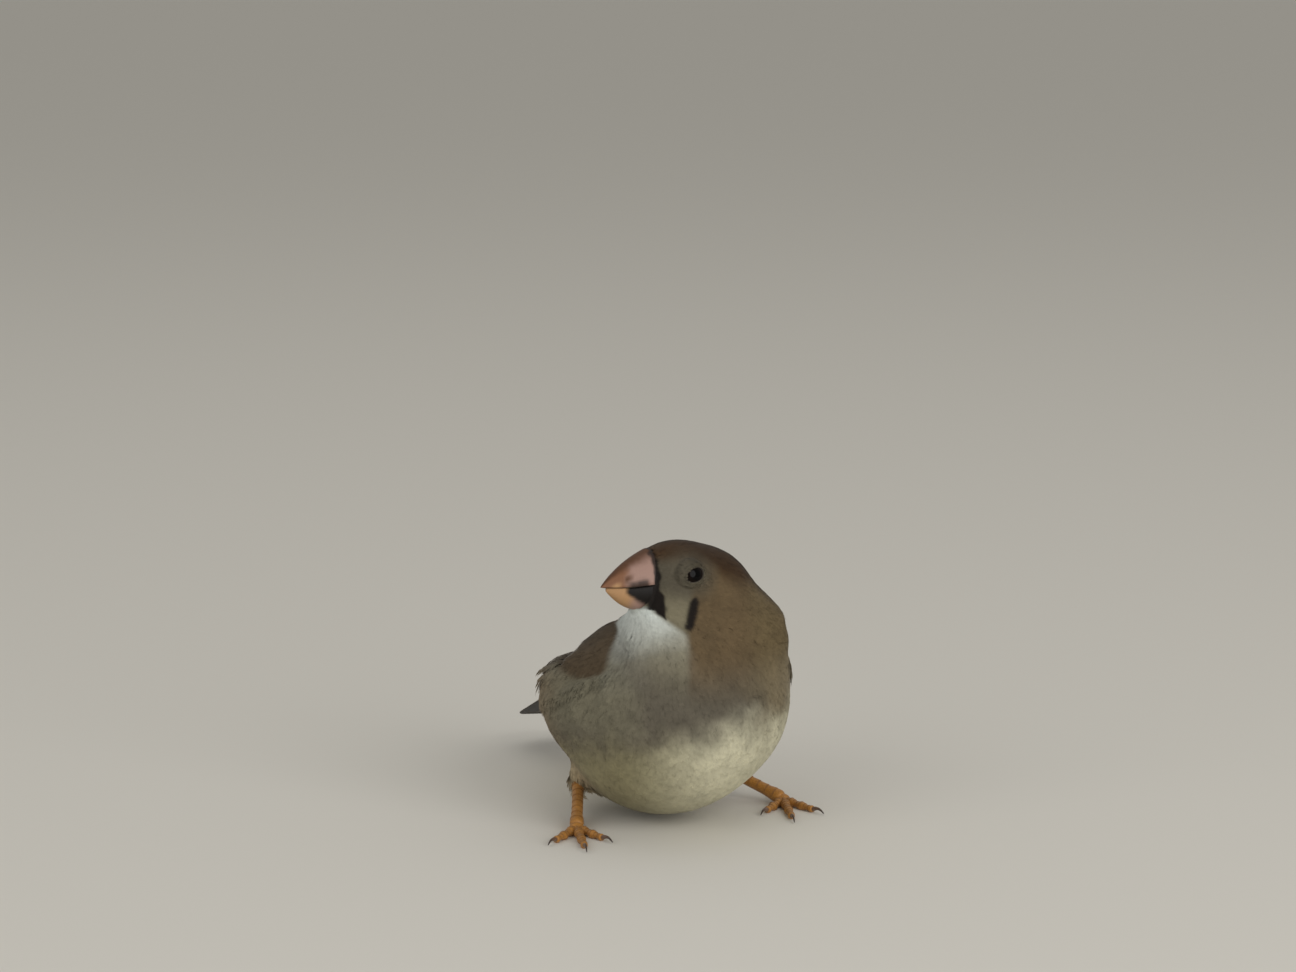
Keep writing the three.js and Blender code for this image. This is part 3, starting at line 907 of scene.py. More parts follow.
def grow_coat(name, surface, found, barbs, settings, rng, material):
    """Tufts rooted at these points as joined meshes, each under the limit of triangles."""
    roots, faces, places = found
    lengths = feather_length(roots) * rng.uniform(0.82, 1.18, len(roots))
    normal = surface.face_normals(faces)
    at = roots
    stations = 4
    lines, normals = [at], [normal]
    hanging = (on_shank(roots) > 0.5)[:, None]
    for _ in range(stations):
        ahead = at + lie(at, normal) * (lengths / stations)[:, None]
        at, turned = surface.nearest(ahead)
        at, normal = np.where(hanging, ahead, at), np.where(hanging, normal, turned)
        lines.append(at)
        normals.append(normal)
    lines = np.stack(lines, 1)
    normals = np.stack(normals, 1)
    ways = np.gradient(lines, axis=1)
    sides = unit(np.cross(ways, normals))
    tilt = rng.normal(0, 0.03, len(roots))[:, None, None]
    sides = unit(sides + tilt * normals)
    yaw = rng.normal(0, 0.09, len(roots))[:, None, None]
    reach = np.linspace(0, 1, stations + 1)[None, :, None] * lengths[:, None, None]
    lines = lines + sides * yaw * reach
    depth = coat_depth(roots) * rng.uniform(0.97, 1.01, len(roots)) * (1 + 0.03 * cloudy(roots, 3.0, 7))
    stand = ruffle(roots) * rng.uniform(0, 2, len(roots)) + 0.3 * on_shank(roots)
    patterns = [barb_pattern(barbs, rng) for _ in range(8)]
    kind = rng.integers(0, len(patterns), len(roots))
    tone = 1 + 0.08 * cloudy(roots, 1.6, 8) + rng.normal(0, 0.03, len(roots))
    points, triangles, colours, uvs, soft = [], [], [], [], []
    count = 0
    for k, (along, across, lift, pattern) in enumerate(patterns):
        mine = kind == k
        centre = between(lines[mine], along)
        normal = unit(between(normals[mine], along))
        side = unit(between(sides[mine], along))
        width = (lengths[mine] * settings.vane_width / 2)[:, None] * across
        share = np.clip(along, 0, 1)
        rise = 0.94 * (1 - (1 - share) ** 5) + 0.06 * share
        height = depth[mine][:, None] * rise + stand[mine][:, None] * share**2
        height = height + lift * np.minimum(lengths[mine], 3)[:, None] / 3 - 0.2 * width**2
        place = centre + side * width[..., None] + normal * height[..., None]
        # Each tuft is darker towards its root as painted shade, and paler towards its tip as its fringe; its
        # tone also varies at random
        shade = tone[mine][:, None] * (0.9 + 0.12 * share)
        colour = plumage(centre + side * width[..., None]) * shade[..., None]
        number = mine.sum()
        first = count + np.arange(number)[:, None, None] * len(along)
        triangles.append((first + pattern).reshape(-1, 3))
        points.append(place.reshape(-1, 3))
        colours.append(colour.reshape(-1, 3))
        soft.append(normal.reshape(-1, 3))
        spot = places[mine][:, None, :] + 0.0014 * np.stack([across, 2 * share - 1], -1)
        uvs.append(spot.reshape(-1, 2))
        count += number * len(along)
    points, triangles = np.concatenate(points), np.concatenate(triangles)
    colours, uvs, soft = np.concatenate(colours), np.concatenate(uvs), np.concatenate(soft)
    whole = len(patterns[0][3])
    parts = math.ceil(len(triangles) / TRIANGLE_LIMIT)
    size = math.ceil(len(triangles) / parts / whole) * whole
    for part in range(parts):
        mine = triangles[part * size : (part + 1) * size]
        used, renamed = np.unique(mine, return_inverse=True)
        mesh = mesh_from(f"{name}_{part + 1}", points[used], renamed.reshape(-1, 3), material)
        paint(mesh, colours[used])
        # The barbs take the light as the soft surface that they make together.
        mesh.normals_split_custom_set_from_vertices(soft[used])
        write(mesh.uv_layers.new(name="OFBake").uv, "vector", uvs[mine.ravel()])
        add_piece(f"{name}_{part + 1}", mesh, "plumage")


def on_face(points):
    """Where the tufts of the head grow: not under the bill and not on the lids."""
    left, ahead, up = head_places(points)
    share = bill_share(ahead)
    bill = (ahead > 8.2) & (np.abs(left) < 3.75) & (up > gonys(share) + 0.5) & (up < culmen(share) + 0.25)
    eyes = np.minimum(lid_share(points, 1), lid_share(points, -1)) < 1.2
    return (over_head(points, 0, 1e-6) > 0) & ~bill & ~eyes


def on_body(points):
    """Where the tufts of the body grow: not under the feathers of the wings and the tail."""
    x, y, z = points[..., 0], points[..., 1], points[..., 2]
    along, share = wing_places(points)
    wing = (along > 0.2 + 0.06 * smooth(0.5 - share, 0, 0.2)) & (along < 0.8)
    wing = wing & (share > 0.07) & (share < flank_line(along, x) - 0.05)
    tail = y > np.where(z > tail_top(y), 29.0, 35.5)
    return (over_head(points, 0, 1e-6) <= 0) & ~wing & ~tail


def build_coat(surface, settings):
    rng = np.random.default_rng(settings.seed)
    material = contour_feather()
    for name, wanted, barbs, crowding in (
        ("coat_head", on_face, 12, settings.head_crowding),
        ("coat_body", on_body, 14, settings.body_crowding),
    ):
        found = scatter(surface, crowding, wanted, rng)
        grow_coat(name, surface, found, barbs, settings, rng, material)


# Vanes and tubes: grids whose vertices are moved to their places


def new_bmesh():
    bm = bmesh.new()
    bm.loops.layers.uv.new("Vane")
    bm.verts.layers.float_color.new("Tint")
    return bm


def add_grid(bm, rows, columns):
    """A flat grid, and how far each vertex lies across it, -1 to 1, and along it, 0 to 1."""
    made = bmesh.ops.create_grid(bm, x_segments=columns, y_segments=rows, size=0.5, calc_uvs=True)["verts"]
    flat = np.array([vert.co[:2] for vert in made])
    flat /= np.abs(flat).max(0)
    return made, flat[:, 0], (flat[:, 1] + 1) / 2


def lay(bm, made, points, colours):
    """Moves vertices to their places in the bird and colours them."""
    tint = bm.verts.layers.float_color["Tint"]
    for vert, co, colour in zip(made, to_frame(points), np.clip(colours, 0, 1)):
        vert.co = co
        vert[tint] = (*colour, 1)


def add_ball(bm, segments, rings, radius):
    return bmesh.ops.create_uvsphere(
        bm, u_segments=segments, v_segments=rings, radius=radius, calc_uvs=True
    )["verts"]


def close_tubes(bm):
    """Welds the sides and ends of tubes made from grids, and turns their faces out."""
    bmesh.ops.remove_doubles(bm, verts=bm.verts, dist=1e-7)
    bmesh.ops.recalc_face_normals(bm, faces=bm.faces)


def finish_mesh(name, bm, material, slot, *replaced):
    """A piece from a finished bmesh."""
    mesh = bpy.data.meshes.new(name)
    bm.to_mesh(mesh)
    bm.free()
    mesh.shade_smooth()
    mesh.materials.append(material)
    return add_piece(name, mesh, slot, *replaced)


def finish_vanes(name, bm, count, thickness, material, slot, *replaced):
    """A piece of vanes, each with a patch of its own for its colours, given their thickness."""
    piece = finish_mesh(name, bm, material, slot, *replaced)
    mesh = piece.data
    own = read(mesh.uv_layers["Vane"].uv, "vector", 2)
    across = math.ceil(math.sqrt(count))
    number = np.arange(count)
    cell = np.stack([number % across, number // across], -1)[:, None]
    patches = (cell + 0.05 + 0.9 * own.reshape(count, -1, 2)) / across
    write(mesh.uv_layers.new(name="OFBake").uv, "vector", patches)
    wall = piece.modifiers.new("Vane thickness", "SOLIDIFY")
    wall.thickness = thickness
    wall.offset = -1
    return piece


def vane_outline(along, taper):
    """The half-width of a feather along its length: narrow at the root, rounded at the tip."""
    root = 0.35 + 0.65 * smooth(along, 0, 0.35)
    tip = np.sqrt(np.clip(1 - (np.maximum(along - 1 + taper, 0) / taper) ** 2, 0.003, 1))
    return root * tip


def vane_colours(base, edge, across, along, tone):
    """A dark vane with a paler fringe."""
    fringe = np.maximum(smooth(np.abs(across), 0.72, 0.98), smooth(along, 0.93, 1.0))
    colours = np.broadcast_to(np.array(base) * tone, (len(across), 3))
    return blend(colours, edge, fringe * 0.85)


# Wings

# Rows of wing feathers from the lowest up: how many there are, what the first one has, and how much
# each next one differs. That is its root and its tip as shares of the wing's length and height, its
# width, its height over the skin and the length of its rounded tip.
WING_ROWS = {
    "primaries": (8, (0.34, 0.82, 0.835, 0.66, 3.4, 0.12, 0.16), (0, -0.02, -0.012, -0.035, 0, 0.04, 0)),
    "secondaries": (6, (0.22, 0.72, 0.73, 0.44, 4.2, 0.42, 0.14), (0, -0.07, -0.012, -0.045, 0, 0.04, 0)),
    "tertials": (3, (0.3, 0.34, 0.70, 0.24, 4.8, 0.66, 0.2), (0, -0.08, -0.07, -0.05, 0, 0.05, 0)),
    "primary coverts": (3, (0.24, 0.86, 0.5, 0.74, 2.2, 0.42, 0.3), (0, -0.03, -0.03, -0.03, 0, 0.04, 0)),
    "greater coverts": (8, (0.2, 0.88, 0.43, 0.82, 3.2, 0.5, 0.3), (0.008, -0.09, -0.004, -0.085, 0, 0.03, 0)),
    "median coverts": (8, (0.16, 0.9, 0.325, 0.86, 2.9, 0.62, 0.34), (0.01, -0.095, -0.003, -0.09, 0, 0.02, 0)),
}


class WingBed:
    """The skin under a folded wing: how far it lies from the trunk's middle line, smoothed."""

    def __init__(self, surface, side):
        self.side = side
        self.ys = np.linspace(-14.0, 42.0, 57)
        self.angles = np.linspace(0.0, 120.0, 49)
        reach = np.full((len(self.ys), len(self.angles)), 3.0)
        for i, y in enumerate(self.ys):
            centre = Vector((0, y, middle_height(y)))
            for j, turn in enumerate(np.radians(self.angles)):
                way = Vector((math.sin(turn) * side, 0, math.cos(turn)))
                hit = surface.tree.ray_cast(centre + way * 40, -way, 40)[0]
                reach[i, j] = (hit - centre).length if hit else reach[i - 1, j]
        for _ in range(8):
            wide = np.pad(reach, 1, mode="edge")
            beside = wide[:-2, 1:-1] + wide[2:, 1:-1] + wide[1:-1, :-2] + wide[1:-1, 2:]
            reach = (beside + 2 * reach) / 6
        self.reach = np.maximum(reach, 3.5)

    def distance(self, y, angle):
        i = np.clip((y - self.ys[0]) / (self.ys[1] - self.ys[0]), 0, len(self.ys) - 1.001)
        j = np.clip(angle / self.angles[1], 0, len(self.angles) - 1.001)
        row, column = i.astype(int), j.astype(int)
        first = mix(self.reach[row, column], self.reach[row, column + 1], j - column)
        second = mix(self.reach[row + 1, column], self.reach[row + 1, column + 1], j - column)
        return mix(first, second, i - row)

    def place(self, y, angle, height):
        reach = self.distance(y, angle) + height
        turn = np.radians(angle)
        x = np.sin(turn) * self.side * reach
        return np.stack([x, y, middle_height(y) + np.cos(turn) * reach], -1)


def vane_line(along, root, tip):
    """The middle of a wing feather, as Y and the angle round the trunk."""
    at, share = mix(root[0], tip[0], along), mix(root[1], tip[1], along)
    top, bottom = wing_edges(at)
    return mix(*WING_REACH, at), mix(top, bottom, share)


def lay_wing_vane(bm, bed, feather, rng, settings):
    """One wing feather, of the numbers that the rows of feathers give."""
    root, tip, (width, height, taper) = feather[:2], feather[2:4], feather[4:]
    made, across, along = add_grid(bm, 18, 8)
    along = 1 - (1 - along) ** 1.5
    tip = (tip[0] + rng.normal(0, 0.004), tip[1] + rng.normal(0, 0.008))
    y, angle = vane_line(along, root, tip)
    y_next, angle_next = vane_line(along + 0.01, root, tip)
    reach = bed.distance(y, angle)
    step = unit(np.stack([y_next - y, np.radians(angle_next - angle) * reach], -1))
    offset = across * width / 2 * vane_outline(along, taper)
    y = y - offset * step[:, 1]
    angle = angle + np.degrees(offset * step[:, 0] / reach)
    rise = height * mix(0.5, 1.0, smooth(along, 0, 0.35)) - 0.10 * across**2
    tone = 1 + rng.normal(0, 0.04)
    colours = vane_colours(settings.wing_colour, settings.fringe_colour, across, along, tone)
    lay(bm, made, bed.place(y, angle, rise), colours)


def build_wings(surface, settings):
    material = flight_feather()
    rng = np.random.default_rng(settings.seed)
    rows = WING_ROWS.values()
    feathers = [np.array(first) + k * np.array(step) for count, first, step in rows for k in range(count)]
    for side, name in ((1, "wing_left"), (-1, "wing_right")):
        bed = WingBed(surface, side)
        bm = new_bmesh()
        for feather in feathers:
            lay_wing_vane(bm, bed, feather, rng, settings)
        if side < 0:
            bmesh.ops.reverse_faces(bm, faces=bm.faces)
        thickness = settings.vane_thickness
        finish_vanes(f"{name}_feathers", bm, len(feathers), thickness, material, "flight_feathers", name)


# Tail: its own frame runs back along the closed feathers from inside the rump.
TAIL_ROOT = np.array((0.0, 21.5, 20.6))
TAIL_SLOPE = -25.0


def from_tail(reach, across, height):
    slope = math.radians(TAIL_SLOPE)
    ahead = np.array((0.0, math.cos(slope), math.sin(slope)))
    up = np.array((0.0, -math.sin(slope), math.cos(slope)))
    left = np.array((1.0, 0.0, 0.0))
    return TAIL_ROOT + reach[:, None] * ahead + across[:, None] * left + height[:, None] * up


def lay_tail_vane(bm, root, tip, width, height, taper, colours):
    """One tail feather between two places, each so far back and across, at a height for each."""
    made, across, along = add_grid(bm, 20, 8)
    along = 1 - (1 - along) ** 1.5
    reach = mix(root[0], tip[0], along)
    side = mix(root[1], tip[1], along) + across * width / 2 * vane_outline(along, taper)
    points = from_tail(reach, side, height(reach, side) - 0.10 * across**2)
    lay(bm, made, points, colours(across, along))


def build_tail(settings):
    rng = np.random.default_rng(settings.seed + 1)
    bm = new_bmesh()
    count = 0
    for k in range(5, -1, -1):
        for side in (-1, 1):
            tone = 1 + rng.normal(0, 0.05)

            def height(reach, across, level=0.15 - 0.06 * k + 0.03 * (side > 0)):
                return level + 0 * reach

            def colours(across, along, tone=tone):
                fringe = mix(np.array(settings.tail_colour), np.array(settings.fringe_colour), 0.3)
                return vane_colours(settings.tail_colour, fringe, across, along, tone) * 0.8

            tip = (39.0 - 0.45 * k, side * (0.4 + 0.82 * k))
            lay_tail_vane(bm, (1.0, side * 0.2 * k), tip, 4.2, height, 0.08, colours)
            count += 1
    thickness = settings.vane_thickness
    finish_vanes("tail_feathers", bm, count, thickness, flight_feather(), "tail_feathers", "tail")


def rump_height(reach, across):
    """How high the upper tail coverts lie over the tail, from the rump down to its feathers."""
    rump = 5.8 * np.sqrt(np.clip(1 - ((reach - 3.8) / 18.6) ** 2, 0, 1)) - 1.8
    return np.maximum(rump, 0.6) - 0.05 * across**2


def build_coverts(settings):
    """The black feathers with white bars over the root of the tail."""
    rng = np.random.default_rng(settings.seed + 2)
    bm = new_bmesh()
    # Each row's distance back, and the places across of its feathers
    rows = (
        (28.0, (-3.6, 3.6, -2.1, 2.1, -0.7, 0.7)),
        (23.5, (-4.2, 4.2, -2.8, 2.8, -1.4, 1.4, 0.0)),
        (19.0, (-4.4, 4.4, -3.4, 3.4, -2.0, 2.0, -0.7, 0.7)),
        (15.0, (-3.8, 3.8, -2.6, 2.6, -1.2, 1.2)),
    )
    count = 0
    for row, (tip, places) in enumerate(rows):
        for number, place in enumerate(places):

            def height(reach, across, level=0.10 * row + 0.02 * number):
                return rump_height(reach, across) + level

            def colours(across, along, middle=0.76 + rng.normal(0, 0.006)):
                dark = np.broadcast_to(np.array(settings.tail_colour), (len(across), 3))
                bar = stripe(along + 0.03 * across**2, middle, 0.07, 0.07)
                return blend(dark, COVERT_BAR, bar * (1 - 0.25 * np.abs(across)))

            lay_tail_vane(bm, (tip - 13, place * 0.7), (tip, place), 3.4, height, 0.35, colours)
            count += 1
    finish_vanes("tail_coverts", bm, count, settings.vane_thickness, flight_feather(), "tail_feathers")


# Bill: its lines run from the feather edge, 0, to the tip, 1, in millimetres over the head's middle.
BILL_BASE = 8.3
BILL_ROOT = 1.6
BILL_LENGTH = 7.2


def bill_share(ahead):
    return np.clip((ahead - BILL_BASE) / BILL_LENGTH, 0, 1)


def culmen(share):
    return mix(5.9, -0.8, 1 - (1 - share) ** 0.85) + 0.4 * np.sin(np.pi * share)


def tomium(share):
    return mix(0.2, -0.9, share) - 0.2 * np.sin(np.pi * share)


def gonys(share):
    return mix(-3.5, -1.4, share**1.3) - 0.5 * np.sin(np.pi * share)


def bill_colours(points, upper, settings):
    """Pinkish horn with a brown ridge and tip above and a painted highlight near the tip, and a black root and
    a pale tip below.
    """
    left, ahead, up = head_places(points)
    share = bill_share(ahead)
    fine = 0.05 * cloudy(points, 1.2, 21) + 0.03 * cloudy(points, 0.5, 22)
    if upper:
        rise = (up - tomium(share)) / (culmen(share) - tomium(share)) + fine
        gape = fade(rise, 0.06, 0.24) * fade(share, 0.42, 0.6) * smooth(share, 0.06, 0.16)
        rim = fade(share + fine, 0.02, 0.08)
        layers = (
            (settings.tip, smooth(share + fine, 0.42, 0.66)),
            # A paler spot near the tip's lower edge of the upper bill: a painted highlight
            (settings.pale_tip_and_highlight, stripe(share, 0.74, 0.07, 0.14) * fade(rise, 0.1, 0.4)),
            (settings.ridge, stripe(share + fine, 0.5, 0.06, 0.14) * stripe(rise, 0.3, 0.14, 0.24)),
            (settings.ridge, smooth(rise, 0.6, 0.96)),
            (settings.dark, np.maximum(gape * 0.85, rim * 0.9)),
        )
    else:
        rise = (tomium(share) - up) / (tomium(share) - gonys(share)) + fine
        line = 0.98 - 1.16 * share
        patch = fade(rise, line - 0.13, line + 0.13) * fade(share + fine, 0.46, 0.58)
        layers = ((settings.pale_tip_and_highlight, smooth(share + fine, 0.2, 0.5)), (settings.dark, patch))
    return laid_over(even(settings.pink, points), *layers)


def build_bill(settings):
    material = bill_horn()
    rows, columns = 60, 64
    halves = (("bill_upper", True, BILL_LENGTH, 3.6), ("bill_lower", False, 6.3, 3.45))
    for name, upper, length, wide in halves:
        bm = new_bmesh()
        made, across, along = add_grid(bm, rows, columns)
        out = np.minimum(1, rows * np.minimum(along, 1 - along))  # the first and last rows are the ends
        along = np.clip((along * rows - 1) / (rows - 2), 0, 1)
        share = np.clip((along * (length + BILL_ROOT) - BILL_ROOT) / length, 0, 1)
        turn = (across + 1) * np.pi
        rise = np.maximum(0, np.sin(turn)) ** 0.9 * out
        left = np.cos(turn) * out * wide * (1 - share * 0.985) ** 0.72
        edge, ridge = (tomium(share), culmen(share)) if upper else (tomium(share) - 0.02, gonys(share))
        ahead = BILL_BASE - BILL_ROOT + along * (length + BILL_ROOT)
        points = from_head(left, ahead, mix(edge, ridge, rise))
        lay(bm, made, points, bill_colours(points, upper, settings))
        close_tubes(bm)
        finish_mesh(name + "_horn", bm, material, "bill", name)


# Eyes


def build_eyes(settings):
    material = wet_eye()
    for side, name in ((1, "eye_left"), (-1, "eye_right")):
        centre, axes = eye_frame(side)
        bm = new_bmesh()
        made = add_ball(bm, 48, 36, 1)
        ball = np.array([vert.co for vert in made])
        ring = np.hypot(ball[:, 0], ball[:, 1]) * EYE_RADIUS
        front = ball[:, 2] > 0
        cornea = 0.10 * fade(ring, 0.9, 1.7) * front
        colours = even(settings.iris, ball)
        colours = blend(colours, LID_RIM, 1 - front * fade(ring, 1.5, 1.7))
        colours = blend(colours, settings.pupil, front * fade(ring, 0.8, 0.95))
        lay(bm, made, centre + (ball * (EYE_RADIUS + cornea)[:, None]) @ axes, colours)
        bmesh.ops.recalc_face_normals(bm, faces=bm.faces)
        finish_mesh(name + "_ball", bm, material, "eye", name)


# Legs
FOOT_HEIGHT = 0.5  # of the toes' middle line: their undersides are flat on the floor
SHIN_SCUTES = 9
# From the hind toe on: the turn outwards from the middle toe, and the length of the toe and its claw
TOES = ((188, 6.4, 3.2), (-31, 6.4, 2.4), (0, 9.8, 2.8), (34, 7.0, 2.4))


def spine(path, share):
    """The smooth curve through a few points: its places and its directions."""
    path = np.array(path, float)
    fit = np.polyfit(np.linspace(0, 1, len(path)), path, len(path) - 1)
    places = np.stack([np.polyval(fit[:, k], share) for k in range(3)], -1)
    ahead = np.stack([np.polyval(np.polyder(fit[:, k]), share) for k in range(3)], -1)
    return places, unit(ahead)


def add_limb(bm, path, rows, columns, radius, colours):
    """A closed tube along a curve, its seam below, with a radius for each share and angle."""
    made, across, along = add_grid(bm, rows, columns)
    share = mix(along, 0.5 - 0.5 * np.cos(np.pi * along), 0.4)
    places, ahead = spine(path, share)
    side = unit(np.cross(ahead, (0.0, 0.0, 1.0)))
    up = np.cross(side, ahead)
    turn = across * np.pi  # 0 on top
    end = np.sqrt(np.clip(1 - np.abs(2 * share - 1) ** 18, 0, 1))
    reach = (radius(share, turn) * end)[:, None]
    points = places + side * np.sin(turn)[:, None] * reach + up * np.cos(turn)[:, None] * reach
    points[:, 2] = np.maximum(points[:, 2], 0)
    lay(bm, made, points, colours(points, share, turn))


def scutes(share, turn, count, depth):
    """Shields across the top of a limb, each over the next: 0 in the grooves, 1 at the edges."""
    at = (share * count) % 1
    return depth * (at**1.6) * fade(at, 0.9, 1.0) * fade(np.abs(turn), 1.1, 1.6)


def on_toe(foot, heading, reach, height):
    """A point over the floor, so far out along a toe and so high."""
    return (foot[0] + math.sin(heading) * reach, foot[1] - math.cos(heading) * reach, height)


def leg_colours(settings, count):
    """Horny orange-brown shields with darker grooves between them."""

    def colours(points, share, turn):
        at = (share * count) % 1
        groove = np.clip(stripe(at, 1.0, 0.12, 0.14) + stripe(at, 0.0, 0.06, 0.1), 0, 1)
        groove = groove * fade(np.abs(turn), 1.3, 1.8)
        tone = 1 + 0.12 * cloudy(points, 1.5, 31) + 0.08 * cloudy(points, 0.5, 32)
        under = smooth(np.abs(turn), 1.6, 2.6)
        colour = blend(np.array(settings.skin_colour) * tone[:, None], settings.groove_colour, groove * 0.6)
        return blend(colour, settings.pad_colour, under * 0.6)

    return colours


def shin_radius(share, turn):
    swell = 0.4 * fade(share, 0.05, 0.3) + 0.3 * smooth(share, 0.72, 1)
    return 0.86 + swell + scutes(share, turn, SHIN_SCUTES, 0.10)


def claw_radius(share, turn):
    return mix(0.40, 0.09, share**0.85) * (1 - 0.15 * np.abs(np.sin(turn)))


def add_toe(bm, claws, foot, heading, length, claw, settings):
    """A toe with its pads and shields, and its arched claw."""
    steps = ((0, 0.3), (0.45, 0.08), (1, 0))
    path = [on_toe(foot, heading, length * share, FOOT_HEIGHT + rise) for share, rise in steps]
    count = round(length / 0.75)

    def pads(share, turn):
        swell = 0.10 * np.cos(share * 6 * np.pi) * (1 + 0.6 * smooth(np.abs(turn), 1.2, 2.4))
        return mix(0.70, 0.52, share) + swell + scutes(share, turn, count, 0.08)

    add_limb(bm, path, 12 * count, 20, pads, leg_colours(settings, count))
    arch = []
    for share in (-0.12, 0.3, 0.65, 1.0):
        rise = 0.19 * claw * math.sin(max(share, 0) * math.pi)
        height = FOOT_HEIGHT - 0.28 * max(share, 0) + rise
        arch.append(on_toe(foot, heading, length + claw * share, height))

    def darken(points, share, turn):
        return blend(even(settings.claw_colour, points), settings.claw_tip_colour, smooth(share, 0.2, 0.9))

    add_limb(claws, arch, 26, 16, claw_radius, darken)


def build_legs(settings):
    material = leg_scales()
    horn = claw_horn()
    for name, (side, (_, heel, foot), turn) in LEGS.items():
        bm = new_bmesh()
        path = (heel, (heel + foot) / 2, foot)
        add_limb(bm, path, 110, 28, shin_radius, leg_colours(settings, SHIN_SCUTES))
        close_tubes(bm)
        finish_mesh(f"tarsus_{name}_scutes", bm, material, "leg_skin", f"tarsus_{name}")

        bm = new_bmesh()
        claws = new_bmesh()
        ball = add_ball(bm, 28, 20, 1.15)
        points = np.array([vert.co for vert in ball]) * (1, 1, 0.85) + (foot[0], foot[1], FOOT_HEIGHT + 0.2)
        points[:, 2] = np.maximum(points[:, 2], 0)
        level = np.zeros(len(points))
        lay(bm, ball, points, leg_colours(settings, 3)(points, level + 0.5, level + 1))
        for outwards, length, claw in TOES:
            heading = math.radians(turn + outwards * side)
            add_toe(bm, claws, foot, heading, length, claw, settings)
        close_tubes(bm)
        close_tubes(claws)
        finish_mesh(f"foot_{name}_pads", bm, material, "leg_skin", f"foot_{name}")
        nodes = [f"claw_{name}_{number}" for number in (1, 2, 3, 4)]
        finish_mesh(f"claws_{name}_horn", claws, horn, "claw", *nodes)


# Stage

# The photograph's camera: its turn and tip, its distance in millimetres, and in pixels its focal
# length, the picture's width and how far the bird's origin lies left of and below the middle
CAMERA_TURN, CAMERA_TIP = math.radians(-20), math.radians(9.3)
CAMERA_DISTANCE = 600.0
FOCAL, PHOTO_WIDTH = 3900.0, 1296
OFF_MIDDLE = (18, 329.5)
SENSOR = 36  # millimetres


def camera_place():
    """Where the photograph was taken from, in metres, and the way the camera faces."""
    level = math.cos(CAMERA_TIP)
    back = Vector((math.sin(CAMERA_TURN) * level, -math.cos(CAMERA_TURN) * level, math.sin(CAMERA_TIP)))
    right = Vector((math.cos(CAMERA_TURN), math.sin(CAMERA_TURN), 0))
    up = back.cross(right)
    aside, above = (pixels / FOCAL * CAMERA_DISTANCE for pixels in OFF_MIDDLE)
    matrix = Matrix((right, up, back)).transposed().to_4x4()
    matrix.translation = Vector(to_frame([back * CAMERA_DISTANCE - right * aside + up * above])[0])
    return matrix


def build_stage(settings):
    scene = bpy.context.scene
    camera = bpy.data.objects.new("camera", bpy.data.cameras.new("camera"))
    camera.data.sensor_width = SENSOR
    camera.data.lens = FOCAL / PHOTO_WIDTH * SENSOR
    camera.data.clip_start = 0.01
    camera.data.clip_end = 30
    camera.matrix_world = camera_place()
    scene.collection.objects.link(camera)
    scene.camera = camera
    world = bpy.data.worlds.new("studio")
    world.use_nodes = True
    air = world.node_tree.nodes["Background"]
    air.inputs["Color"].default_value = (*settings.air_colour, 1)
    air.inputs["Strength"].default_value = settings.air_strength
    scene.world = world
    for name, place, size, share in (
        ("key_light", (0.25, -0.8, 0.35), 0.7, 1.0),
        ("fill_light", (-0.7, -0.4, 0.3), 0.8, 0.5),
        ("top_light", (0.1, 0.3, 0.8), 0.8, 0.15),
    ):
        lamp = bpy.data.lights.new(name, "AREA")
        lamp.shape = "DISK"
        lamp.size = size
        lamp.energy = settings.key_power * share
        lamp.color = settings.lamp_colour
        light = bpy.data.objects.new(name, lamp)
        light.location = place
        light.rotation_euler = (Vector(place) - Vector((0, 0, 0.02))).to_track_quat("Z", "Y").to_euler()
        scene.collection.objects.link(light)
    bm = bmesh.new()
    bmesh.ops.create_grid(bm, x_segments=2, y_segments=2, size=8)
    mesh = bpy.data.meshes.new("floor")
    bm.to_mesh(mesh)
    bm.free()
    finish = {"Base Color": (*settings.floor_colour, 1), "Roughness": 0.85}
    material, _, _ = new_material("matt_floor_paint", finish)
    mesh.materials.append(material)
    floor = bpy.data.objects.new("floor", mesh)
    scene.collection.objects.link(floor)
    scene.view_settings.view_transform = "Standard"


# Settings


def colour_setting(name, description, code):
    options = {"default": linear(code), "subtype": "COLOR", "size": 3, "min": 0, "max": 1}
    return FloatVectorProperty(name=name, description=description, **options)


def length_setting(name, description, default):
    options = {"default": default, "min": 0, "unit": "LENGTH", "precision": 5}
    return FloatProperty(name=name, description=description, **options)


def share_setting(name, description, default):
    return FloatProperty(name=name, description=description, default=default, min=0, subtype="FACTOR")


class FinchSkinSettings(bpy.types.PropertyGroup):
    grain: length_setting("Grain", "Spacing of the skin's vertices", 0.00045)
    wing_bed: length_setting("Wing bed", "How deep the skin lies under the folded wings", 0.0011)


class FinchCoatSettings(bpy.types.PropertyGroup):
    head_crowding: share_setting("Head spacing", "Gap between tufts of the head, in their lengths", 0.18)
    body_crowding: share_setting("Body spacing", "Gap between tufts of the body, in their lengths", 0.155)
    vane_width: share_setting("Tuft width", "Width of a tuft as a share of its length", 0.44)
    seed: IntProperty(name="Seed", description="Picks another scatter of the tufts", default=7, min=0)


class FinchFlightSettings(bpy.types.PropertyGroup):
    vane_thickness: length_setting("Vane thickness", "Thickness of a wing or tail feather", 0.00007)
    wing_colour: colour_setting("Wing", "Colour of the wing feathers", "4f4231")
    fringe_colour: colour_setting("Fringe", "Colour of the paler edges of the feathers", "7a6950")
    tail_colour: colour_setting("Tail", "Colour of the tail feathers", "241f1b")
    seed: IntProperty(name="Seed", description="Picks other small differences", default=3, min=0)


